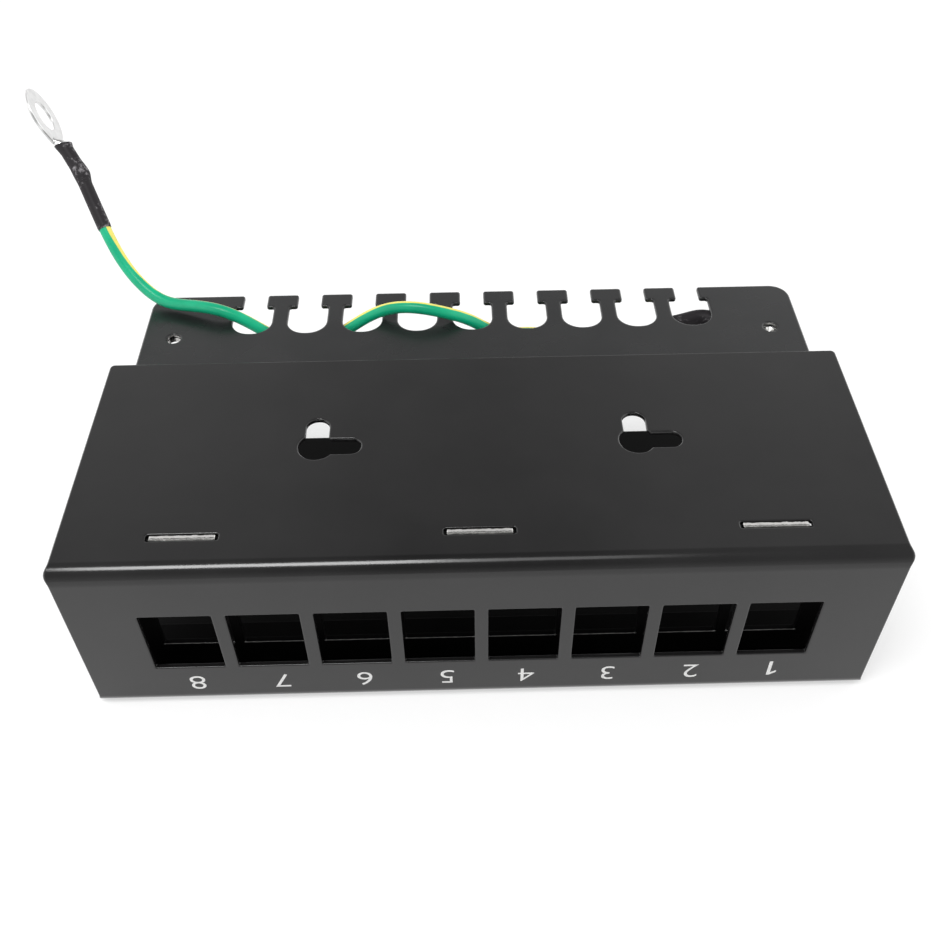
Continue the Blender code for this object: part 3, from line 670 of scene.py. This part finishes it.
ink, tree, shader = new_material("white_ink", roughness=0.55, metallic=0.0)
screen = speckle(tree, scale=1800.0, detail=3.0)
tone = ramp(tree, screen, low=0.3, high=0.6, dark=(0.60, 0.60, 0.60), light=(0.72, 0.72, 0.71))
tree.links.new(tone, shader.inputs["Base Color"])
upside_down = Matrix(((-1, 0, 0, 0), (0, 0, -1, 0), (0, -1, 0, 0), (0, 0, 0, 1)))
stretch = Matrix.Diagonal((DIGIT_STRETCH, 1, 1, 1))
for number, place in enumerate(DIGIT_PLACES, start=1):
    name = f"port_number_{number}"
    if number == 1:
        loop = [(u * DIGIT_HEIGHT, v * DIGIT_HEIGHT, DIGIT_CORNER) for u, v in ONE_OUTLINE]
        model = cut_sheet([loop], 2 * DIGIT_INK, DIGIT_INK / 2)
    else:
        letter = bpy.data.curves.new(name, "FONT")
        letter.body = str(number)
        letter.align_x = "CENTER"
        letter.align_y = "CENTER"
        letter.size = DIGIT_HEIGHT / DIGIT_FONT_SHARE
        letter.extrude = DIGIT_INK
        letter.offset = -DIGIT_THINNING
        draft = link_object("draft", letter)
        model = bmesh.new()
        model.from_mesh(draft.evaluated_get(bpy.context.evaluated_depsgraph_get()).to_mesh())
        bpy.data.objects.remove(draft)
        bmesh.ops.remove_doubles(model, verts=model.verts[:], dist=MERGE)
        bmesh.ops.recalc_face_normals(model, faces=model.faces[:])
    for face in model.faces:
        face.smooth = False
    mesh = finished_mesh(name, model)
    mesh.transform(Matrix.Translation((place * MM, FRONT_Y, DIGIT_CENTRE_Z)) @ upside_down @ stretch)
    mesh.materials.append(ink)
    digit = link_object(name, mesh)
    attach(digit, "root")


# Earth lead: stranded copper in green insulation with one yellow stripe along it. It starts in the
# crimp under the plate, is threaded up and down through the comb, and its stiff free end stands up.
LEAD_DIAMETER = 2.9 * MM
LEAD_ROUTE = [
    (60.2, 37.2, 39.9),
    (57.6, 38.3, 39.7),
    (53.6, 37.8, 39.3),
    (48.4, 36.4, 38.8),
    (41.2, 33.2, 38.4),
    (33.0, 31.2, 38.8),
    (23.0, 31.1, 39.7),
    (13.4, 32.4, 40.3),
    (6.4, 32.9, 40.2),
    (0.0, 33.6, 43.3),
    (-6.4, 32.8, 46.6),
    (-13.4, 33.2, 48.0),
    (-20.4, 34.6, 46.7),
    (-26.8, 34.9, 43.4),
    (-33.2, 33.3, 40.1),
    (-40.2, 31.7, 38.9),
    (-47.2, 32.5, 40.0),
    (-53.6, 34.1, 43.3),
    (-60.2, 35.3, 46.4),
    (-67.6, 37.6, 46.5),
    (-75.2, 40.1, 46.3),
    (-81.2, 43.7, 49.0),
    (-85.6, 47.6, 53.5),
    (-89.2, 52.3, 59.3),
    (-92.1, 57.3, 64.0),
    (-95.0, 62.4, 68.8),
]
LEAD_STEP, LEAD_SIDES = 0.6 * MM, 28
STRIPE_SIDE = Vector((-0.011, -0.692, 0.722))
# Share of the lead's length, and degrees from that side.
STRIPE_TWIST = [(0.0, 92), (0.46, 64), (0.56, 64), (0.68, 100), (0.80, 100), (0.90, 62), (1.0, 56)]
STRIPE_YELLOW = (0.76, 0.68, 0.13)


def smooth_line(route, step):
    """Places in metres at even steps along a natural cubic spline through a route in millimetres."""
    route = np.array(route) * MM
    spans = np.linalg.norm(np.diff(route, axis=0), axis=1)
    knots = np.concatenate([[0.0], np.cumsum(spans)])
    count = len(route)
    bends, sides = np.eye(count), np.zeros((count, 3))
    for i in range(1, count - 1):
        bends[i, i - 1 : i + 2] = spans[i - 1], 2 * (spans[i - 1] + spans[i]), spans[i]
        sides[i] = 6 * ((route[i + 1] - route[i]) / spans[i] - (route[i] - route[i - 1]) / spans[i - 1])
    curvature = np.linalg.solve(bends, sides)
    line = []
    for along in np.linspace(0.0, knots[-1], round(knots[-1] / step) + 1):
        i = min(int(np.searchsorted(knots, along, side="right")) - 1, count - 2)
        ahead = (along - knots[i]) / spans[i]
        back = 1.0 - ahead
        bow = (back**3 - back) * curvature[i] + (ahead**3 - ahead) * curvature[i + 1]
        line.append(Vector(back * route[i] + ahead * route[i + 1] + bow * spans[i] ** 2 / 6))
    return line


def frame_at(place, ahead, side):
    """Placing matrix with its Z along ahead and its X as near to side as it can be."""
    z_axis = ahead.normalized()
    y_axis = z_axis.cross(side).normalized()
    x_axis = y_axis.cross(z_axis)
    return Matrix.Translation(place) @ Matrix((x_axis, y_axis, z_axis)).transposed().to_4x4()


def swept_tube(places, sections, sides):
    """Closed tube through placing matrices, each with its own (wide, deep) half sizes."""
    tube = bmesh.new()
    previous = places[0] @ Matrix.Diagonal((*sections[0], 1.0, 1.0))
    bmesh.ops.create_circle(tube, cap_ends=True, segments=sides, radius=1.0, matrix=previous)
    lines = tube.edges[:]
    for place, section in zip(places[1:], sections[1:]):
        following = place @ Matrix.Diagonal((*section, 1.0, 1.0))
        grown = bmesh.ops.extrude_edge_only(tube, edges=lines)["geom"]
        ring = only(bmesh.types.BMVert, grown)
        lines = only(bmesh.types.BMEdge, grown)
        bmesh.ops.transform(tube, matrix=following @ previous.inverted(), verts=ring)
        previous = following
    bmesh.ops.contextual_create(tube, geom=lines)
    return tube


lead_line = smooth_line(LEAD_ROUTE, LEAD_STEP)
lead_places = []
for index, place in enumerate(lead_line):
    before = lead_line[max(index - 1, 0)]
    after = lead_line[min(index + 1, len(lead_line) - 1)]
    ahead = (after - before).normalized()
    turn = math.radians(np.interp(index / len(lead_line), *zip(*STRIPE_TWIST)))
    stripe_way = math.cos(turn) * STRIPE_SIDE + math.sin(turn) * ahead.cross(STRIPE_SIDE)
    lead_places.append(frame_at(place, ahead, stripe_way))
lead_radius = LEAD_DIAMETER / 2
lead = swept_tube(lead_places, [(lead_radius, lead_radius)] * len(lead_line), LEAD_SIDES)

insulation, tree, shader = new_material("striped_insulation", roughness=0.32, metallic=0.0, shine=0.28)
facing = add_node(tree, "ShaderNodeAttribute", {}, attribute_name="stripe_side").outputs["Fac"]
wander = speckle(tree, scale=120.0, detail=2.0)
height = combine(tree, "ADD", facing, graded(tree, wander, low=0.3, high=0.7, first=-0.05, last=0.05))
green = ramp(tree, wander, low=0.3, high=0.7, dark=(0.003, 0.310, 0.155), light=(0.006, 0.430, 0.215))
tone = ramp(tree, height, low=0.84, high=0.89, dark=green, light=STRIPE_YELLOW)
tree.links.new(tone, shader.inputs["Base Color"])
roughen(tree, shader, speckle(tree, scale=900.0, detail=2.0), strength=0.1, depth=0.1 * MM)

lead_piece = add_piece("lead_striped", lead, [insulation], "lead_insulation", "earth_lead")
stripe_side = lead_piece.data.attributes.new("stripe_side", "FLOAT", "POINT")
for index, spot in enumerate(lead_piece.data.vertices):
    place = lead_places[min(index // LEAD_SIDES, len(lead_places) - 1)]
    local = place.inverted() @ spot.co
    stripe_side.data[index].value = local.x / lead_radius


# Heat-shrink sleeves: thin black tube shrunk over each crimp and the end of the insulation, so that the
# crimp shows through as a bulge. Handling has scuffed them grey here and there, and the grey is spread
# wider as a painted sheen on the glossy tube. The free sleeve's mouth is cut askew; the fixed one follows
# the lead under the plate.
SLEEVE_STEP, SLEEVE_SIDES = 0.35 * MM, 36
# Rows of a form: distance, half width, half depth and shift to a side, in millimetres.
FREE_SLEEVE_FORM = [
    (0.0, 1.56, 1.56, 0.0),
    (0.5, 1.66, 1.66, 0.0),
    (11.6, 1.64, 1.64, 0.0),
    (14.6, 2.02, 1.95, 0.30),
    (18.0, 1.78, 1.72, 0.22),
    (21.0, 1.76, 1.72, 0.34),
    (23.4, 2.10, 1.80, 0.38),
]
FIXED_SLEEVE_FORM = [
    (0.0, 1.80, 1.80, 0.0),
    (1.6, 1.78, 1.78, 0.0),
    (3.4, 1.95, 1.95, 0.25),
    (6.0, 1.98, 1.92, 0.30),
    (10.0, 1.98, 1.92, 0.30),
    (16.0, 1.74, 1.74, 0.0),
    (16.6, 1.60, 1.60, 0.0),
]
LIP_RADIUS, LIP_DEPTH, LIP_WALL = 1.5 * MM, 1.2 * MM, 0.25 * MM
FREE_BARREL, FREE_BARREL_SHOWING, CRIMP_GAP = 8.8 * MM, 0.8 * MM, 0.3 * MM
FREE_SLEEVE_GRIP, FREE_CRIMP_LEAN = 15.1 * MM, math.radians(10.5)
FREE_RING_FACE = Vector((0.907, 0.192, 0.374))
GRIP_SHARES, CRIMP_SHARES = (1.0, 0.7, 0.4, 0.15), (0.25, 0.6, 1.0)
MOUTH_SKEW, MOUTH_LENGTH = 0.35, 2.4 * MM
SAG_SIDE = Vector((0.0, -0.72, -0.69))
FIXED_HEADING, FIXED_BEND = math.radians(143), math.radians(6)
FIXED_TONGUE, FIXED_BARREL, FIXED_BARREL_SHOWING = 5.0 * MM, 9.3 * MM, 6.0 * MM
FIXED_GRIP = slice(6, 40, 6)  # places of the lead that the fixed sleeve follows
TERMINAL_SHEET = 0.8 * MM
RING_TOP = TIE_TOP - TIE_SHEET - CRIMP_GAP
TONGUE_RISE = lead_radius - TERMINAL_SHEET / 2

shrink, tree, shader = new_material("heat_shrink", roughness=0.48, metallic=0.0, shine=0.12)
# Grey patches: real scuffs, spread wide enough to also paint the sheen of the glossy tube.
wear_and_sheen = speckle(tree, scale=190.0, detail=2.0)
marks = speckle(tree, scale=1100.0, detail=4.0, roughness=0.7)
scuffs_and_sheen = combine(tree, "MULTIPLY", wear_and_sheen, marks)
tone = ramp(tree, scuffs_and_sheen, low=0.28, high=0.39, dark=(0.022, 0.020, 0.022), light=(0.22, 0.21, 0.22))
tree.links.new(tone, shader.inputs["Base Color"])
roughen(tree, shader, marks, strength=0.25, depth=0.1 * MM)


def along_line(points, reach):
    """Place and heading at a distance along a line of points."""
    for start, end in zip(points, points[1:]):
        span = (end - start).length
        if reach <= span:
            break
        reach -= span
    heading = (end - start).normalized()
    return start + heading * reach, heading


def ease(share):
    """Share of a step that starts and ends level."""
    return share * share * (3 - 2 * share)


def eased(form, step):
    """Rows of a form in metres, with more between them that ease from one to the next."""
    rows = [Vector(form[0]) * MM]
    for low, high in zip(form, form[1:]):
        count = max(2, round((high[0] - low[0]) * MM / step))
        for index in range(1, count + 1):
            share = index / count
            row = Vector(low).lerp(Vector(high), ease(share))
            row[0] = low[0] + (high[0] - low[0]) * share
            rows.append(row * MM)
    return rows


def shrink_sleeve(line, form, side, mouth_last, skew):
    """Sleeve of a form along a line, open at its mouth, which is at the form's last row or its first."""
    stations = [tuple(row) for row in eased(form, SLEEVE_STEP)]
    if not mouth_last:
        stations.reverse()
    mouth, wide, deep, shift = stations[-1]
    inward = LIP_DEPTH if mouth_last else -LIP_DEPTH
    stations.append((mouth, wide - LIP_WALL, deep - LIP_WALL, shift))
    stations.append((mouth - inward, LIP_RADIUS, LIP_RADIUS, 0.0))
    places, sections = [], []
    for distance, wide, deep, shift in stations:
        place, heading = along_line(line, distance)
        askew = skew * max(0.0, 1.0 - abs(mouth - distance) / MOUTH_LENGTH)
        across = frame_at(place, heading, side).col[0].to_3d()
        places.append(frame_at(place + across * shift, heading + across * askew, side))
        sections.append((wide * math.hypot(1.0, askew), deep))
    return swept_tube(places, sections, SLEEVE_SIDES)


lead_ahead = (Vector(LEAD_ROUTE[-1]) - Vector(LEAD_ROUTE[-3])).normalized()
lean_axis = FREE_RING_FACE.cross(lead_ahead).normalized()
free_ahead = Matrix.Rotation(FREE_CRIMP_LEAN, 3, lean_axis) @ lead_ahead
free_barrel_front = lead_line[-1] + free_ahead * (CRIMP_GAP + FREE_BARREL)
free_mouth = free_barrel_front - free_ahead * FREE_BARREL_SHOWING
grip = [lead_line[-1] - lead_ahead * (FREE_SLEEVE_GRIP * share) for share in GRIP_SHARES]
crimp = [lead_line[-1].lerp(free_mouth, share) for share in CRIMP_SHARES]
free_run = smooth_line([spot / MM for spot in grip + crimp], SLEEVE_STEP)
sleeve = shrink_sleeve(free_run, FREE_SLEEVE_FORM, FREE_RING_FACE, True, MOUTH_SKEW)
free_sleeve = add_piece("free_sleeve_scuffed", sleeve, [shrink], "heat_shrink", "free_heat_shrink")

heading = Vector((math.cos(FIXED_HEADING), math.sin(FIXED_HEADING), 0.0))
across = heading.cross(Vector((0, 0, 1)))
fixed_outward = Matrix.Rotation(-FIXED_BEND, 3, across) @ heading
fixed_below = fixed_outward.cross(across)
ring_centre = Vector((EARTH_HOLE_X, EARTH_HOLE_Y, RING_TOP - TERMINAL_SHEET / 2))
fixed_barrel_front = ring_centre + heading * FIXED_TONGUE + fixed_below * TONGUE_RISE
fixed_run = [fixed_barrel_front + fixed_outward * FIXED_BARREL_SHOWING]
fixed_run.append(fixed_barrel_front + fixed_outward * FIXED_BARREL)
fixed_run += lead_line[FIXED_GRIP]
fixed_run = smooth_line([spot / MM for spot in fixed_run], LEAD_STEP)
sleeve = shrink_sleeve(fixed_run, FIXED_SLEEVE_FORM, SAG_SIDE, False, 0.0)
fixed_sleeve = add_piece("fixed_sleeve_scuffed", sleeve, [shrink], "heat_shrink", "fixed_heat_shrink")


# Ring terminals: stamped from copper sheet and tinned bright. Behind the ring the sheet narrows to a
# tongue, which is rolled into a barrel and crimped on the wire inside the sleeve. The larger one is
# loose, and the smaller one is clamped under the tie plate at the right earth hole.
FREE_RING, FREE_HOLE, FREE_TONGUE = 14.0 * MM, 7.2 * MM, 7.6 * MM
FIXED_RING, FIXED_HOLE = 7.6 * MM, 3.9 * MM
STAMPED_EDGE = 0.14 * MM
NECK_LENGTH, NECK_DEPTH = 1.8 * MM, 0.42 * MM
NECK_BACK, NECK_FLARE = 0.5, 1.2  # share of its length behind the barrel's front, and how fast it widens
RING_STEPS, BORE_STEPS, NECK_STEPS = 56, 60, 4


def ring_terminal(ring, hole, tongue, barrel, bend, place):
    """Terminal with its barrel along local -Z, its ring ahead and bent over local X, at a place."""
    radius = ring / 2
    reach = math.hypot(tongue, lead_radius)
    touch = math.degrees(math.atan2(lead_radius, -tongue) - math.acos(radius / reach))
    outline = [(0.0, -lead_radius, 0.0)]
    outline += arc_loop(tongue, 0.0, radius, -touch, touch, RING_STEPS)
    outline.append((0.0, lead_radius, 0.0))
    bore = circle_loop(tongue, 0.0, hole / 2, BORE_STEPS)
    stamping = cut_sheet([outline, bore], TERMINAL_SHEET, STAMPED_EDGE)
    lengthwise = Matrix(((0, 1, 0, 0), (0, 0, 1, 0), (1, 0, 0, 0), (0, 0, 0, 1)))
    tilt = Matrix.Translation((0, 0, TONGUE_RISE)) @ Matrix.Rotation(bend, 4, "Y")
    bmesh.ops.transform(stamping, matrix=place @ lengthwise @ tilt, verts=stamping.verts[:])
    rings = [(-barrel, 0.0, lead_radius - STAMPED_EDGE), (STAMPED_EDGE - barrel, 0.0, lead_radius)]
    rings.append((-NECK_LENGTH * NECK_BACK, 0.0, lead_radius))
    for step in range(1, NECK_STEPS + 1):
        share = step / NECK_STEPS
        ahead = NECK_LENGTH * ((1.0 + NECK_BACK) * share - NECK_BACK)
        rise = ease(share) * (TONGUE_RISE - math.sin(bend) * max(ahead, 0.0))
        rings.append((ahead, rise, lead_radius + ease(share) * (NECK_DEPTH - lead_radius)))
    places = [place @ Matrix.Translation((0.0, rise, ahead)) for ahead, rise, _ in rings]
    sections = [(min(lead_radius, NECK_FLARE * deep + lead_radius / 2), deep) for _, _, deep in rings]
    take_in(stamping, swept_tube(places, sections, SLEEVE_SIDES))
    return stamping


tin = bare_metal(
    "tin_plate",
    dark=(0.66, 0.66, 0.655),
    light=(0.76, 0.76, 0.755),
    scale=500.0,
    roughness=0.28,
    relief=0.12,
)
place = frame_at(free_barrel_front, free_ahead, free_ahead.cross(FREE_RING_FACE))
terminal = ring_terminal(FREE_RING, FREE_HOLE, FREE_TONGUE, FREE_BARREL, FREE_CRIMP_LEAN, place)
free_terminal = add_piece("free_terminal_stamped", terminal, [tin], "tin", "free_ring_terminal")
place = frame_at(fixed_barrel_front, -fixed_outward, across)
terminal = ring_terminal(FIXED_RING, FIXED_HOLE, FIXED_TONGUE, FIXED_BARREL, FIXED_BEND, place)
fixed_terminal = add_piece("fixed_terminal_stamped", terminal, [tin], "tin", "fixed_ring_terminal")


# Earth screw and lock washer: a zinc-plated pan-head screw with a cross recess, driven from below up into
# the right earth hole, and a split spring washer between its head and the ring terminal.
HEAD_RADIUS, HEAD_HEIGHT, HEAD_ROUND, HEAD_STEPS = 3.0 * MM, 2.0 * MM, 1.0 * MM, 4
SHANK_RADIUS, TIP_ROUND, TIP_DROP, TIP_CUP = 1.35 * MM, 0.3 * MM, 1.0 * MM, 0.9 * MM
CROSS_LENGTH, CROSS_WIDTH, CROSS_DEPTH = 3.2 * MM, 0.7 * MM, 1.1 * MM
WASHER_OUTSIDE, WASHER_INSIDE, WASHER_SHEET = 3.3 * MM, 1.8 * MM, 0.5 * MM
WASHER_EDGE, WASHER_SPLIT = 0.1 * MM, 0.15
WASHER_TOP = RING_TOP - TERMINAL_SHEET - CRIMP_GAP
HEAD_TOP = WASHER_TOP - WASHER_SHEET - CRIMP_GAP
EARTH_AXIS = Vector((EARTH_HOLE_X, EARTH_HOLE_Y, 0.0))

zinc = bare_metal(
    "zinc_plate",
    dark=(0.62, 0.62, 0.60),
    light=(0.76, 0.76, 0.74),
    scale=900.0,
    roughness=0.30,
    relief=0.15,
)
head_bottom = HEAD_TOP - HEAD_HEIGHT
flat_radius = HEAD_RADIUS - HEAD_ROUND
tip_top = TIE_TOP - TIP_DROP
profile = [
    (0.0, tip_top - TIP_CUP),
    (SHANK_RADIUS - TIP_ROUND, tip_top),
    (SHANK_RADIUS, tip_top - TIP_ROUND),
    (SHANK_RADIUS, HEAD_TOP),
    (HEAD_RADIUS, HEAD_TOP),
]
for step in range(HEAD_STEPS + 1):
    turn = step / HEAD_STEPS * math.pi / 2
    drop = HEAD_ROUND * math.sin(turn)
    profile.append((flat_radius + HEAD_ROUND * math.cos(turn), head_bottom + HEAD_ROUND - drop))
screw = turned(profile, EARTH_AXIS, 0.0, math.tau)
long, short = CROSS_LENGTH / 2, CROSS_WIDTH / 2
quarter = [(long, -short), (long, short), (short, short)]
cross = []
for _ in range(4):
    cross += [(u, v, 0.0) for u, v in quarter]
    quarter = [(-v, u) for u, v in quarter]
lines = []
for loop in (circle_loop(0.0, 0.0, flat_radius, TURN_STEPS), cross):
    spots = [screw.verts.new((EARTH_HOLE_X + u, EARTH_HOLE_Y + v, head_bottom)) for u, v, _ in loop]
    lines.append([screw.edges.new(pair) for pair in zip(spots, spots[1:] + spots[:1])])
bmesh.ops.triangle_fill(screw, use_beauty=True, edges=lines[0] + lines[1], normal=(0, 0, -1))
sunk = bmesh.ops.extrude_edge_only(screw, edges=lines[1])["geom"]
bmesh.ops.translate(screw, verts=only(bmesh.types.BMVert, sunk), vec=(0, 0, CROSS_DEPTH))
bmesh.ops.contextual_create(screw, geom=only(bmesh.types.BMEdge, sunk))
bmesh.ops.remove_doubles(screw, verts=screw.verts[:], dist=MERGE)
add_piece("screw_recessed", screw, [zinc], "screw_zinc", "earth_screw")

washer_bottom = WASHER_TOP - WASHER_SHEET
section = [
    (WASHER_INSIDE, WASHER_TOP - WASHER_EDGE),
    (WASHER_INSIDE + WASHER_EDGE, WASHER_TOP),
    (WASHER_OUTSIDE - WASHER_EDGE, WASHER_TOP),
    (WASHER_OUTSIDE, WASHER_TOP - WASHER_EDGE),
    (WASHER_OUTSIDE, washer_bottom + WASHER_EDGE),
    (WASHER_OUTSIDE - WASHER_EDGE, washer_bottom),
    (WASHER_INSIDE + WASHER_EDGE, washer_bottom),
    (WASHER_INSIDE, washer_bottom + WASHER_EDGE),
    (WASHER_INSIDE, WASHER_TOP - WASHER_EDGE),
]
washer = turned(section, EARTH_AXIS, WASHER_SPLIT / 2, math.tau - WASHER_SPLIT)
add_piece("washer_split", washer, [zinc], "screw_zinc", "earth_washer")


# Floor, light and camera: a plain pale sweep, a soft box overhead to the left with a weaker one beside
# it, and the photograph's view. The room is dim, and lighter behind, low down and at the sides, but the
# camera sees it plain white.
CAMERA_PLACE = (-3.149 * MM, -175.903 * MM, 207.606 * MM)
CAMERA_AHEAD = Vector((0.01121461, 0.69195378, -0.72185469))
CAMERA_RIGHT = Vector((0.99969657, -0.02359228, -0.00708392))
CAMERA_LENS, CAMERA_SENSOR = 40.958, 36.0
CAMERA_NEAR, CAMERA_FAR = 0.01, 20.0
WHITE = (1.0, 1.0, 1.0, 1.0)
FLOOR_COLOUR, FLOOR_HALF_SIZE = (0.90, 0.90, 0.90, 1.0), 3.0
FLOOR_GLOW, FLOOR_GLOW_STRENGTH = 0.48, 1.1
SOFT_BOXES = [(-0.245, 0.41, 5.8), (0.08, 0.24, 0.55)]  # x, width and power of each
SOFT_BOX_Y, SOFT_BOX_Z, SOFT_BOX_LENGTH = -0.29, 1.0, 0.32
ROOM_FRONT, ROOM_BEHIND, BEHIND_SPAN = 0.12, 0.55, (0.45, 0.80)
ROOM_LOW, LOW_SPAN = 0.42, (0.0, 0.55)
ROOM_SIDES, SIDES_SPAN = 0.28, (0.05, 0.25)
ROOM_WINDOWS, WINDOWS_SPAN = 1.2, (0.42, 0.70)

floor_paper, tree, shader = new_material("floor_paper", roughness=0.9, metallic=0.0)
shader.inputs["Base Color"].default_value = FLOOR_COLOUR
path = add_node(tree, "ShaderNodeLightPath", {}).outputs
seen = combine(tree, "MAXIMUM", path["Is Camera Ray"], path["Is Glossy Ray"])
share = combine(tree, "MULTIPLY", seen, FLOOR_GLOW)
glow = add_node(tree, "ShaderNodeEmission", {"Color": WHITE, "Strength": FLOOR_GLOW_STRENGTH})
blend = add_node(tree, "ShaderNodeMixShader", {0: share, 1: shader.outputs[0], 2: glow.outputs[0]})
tree.links.new(blend.outputs[0], tree.nodes["Material Output"].inputs["Surface"])
ground = bmesh.new()
bmesh.ops.create_grid(ground, x_segments=1, y_segments=1, size=FLOOR_HALF_SIZE)
mesh = finished_mesh("floor", ground)
mesh.materials.append(floor_paper)
floor = link_object("floor", mesh)
floor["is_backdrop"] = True

world = bpy.data.worlds.new("studio")
bpy.context.scene.world = world
world.use_nodes = True
tree = world.node_tree
direction = add_node(tree, "ShaderNodeTexCoord", {}).outputs["Generated"]
parts = add_node(tree, "ShaderNodeSeparateXYZ", {"Vector": direction}).outputs
sideways = combine(tree, "ABSOLUTE", parts["X"])
level = graded(tree, parts["Y"], *BEHIND_SPAN, ROOM_FRONT, ROOM_BEHIND)
low_wall = graded(tree, parts["Z"], *LOW_SPAN, ROOM_LOW, 0.0)
side_walls = graded(tree, sideways, *SIDES_SPAN, 0.0, ROOM_SIDES)
windows = graded(tree, sideways, *WINDOWS_SPAN, 0.0, ROOM_WINDOWS)
for share in (low_wall, side_walls, windows):
    level = combine(tree, "ADD", level, share)
camera_ray = add_node(tree, "ShaderNodeLightPath", {}).outputs["Is Camera Ray"]
sky = tree.nodes["Background"]
sky.inputs["Color"].default_value = WHITE
tree.links.new(graded(tree, camera_ray, 0.0, 1.0, first=level, last=1.0), sky.inputs["Strength"])

for x, width, power in SOFT_BOXES:
    lamp = bpy.data.lights.new("soft_box", "AREA")
    lamp.shape = "RECTANGLE"
    lamp.size = width
    lamp.size_y = SOFT_BOX_LENGTH
    lamp.energy = power
    holder = link_object("soft_box", lamp)
    holder.location = (x, SOFT_BOX_Y, SOFT_BOX_Z)

lens = bpy.data.cameras.new("camera")
lens.sensor_width = CAMERA_SENSOR
lens.lens = CAMERA_LENS
lens.clip_start, lens.clip_end = CAMERA_NEAR, CAMERA_FAR
camera = link_object("camera", lens)
camera.matrix_world = frame_at(Vector(CAMERA_PLACE), -CAMERA_AHEAD, CAMERA_RIGHT)
bpy.context.scene.camera = camera
bpy.context.scene.view_settings.view_transform = "Standard"

low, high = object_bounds()
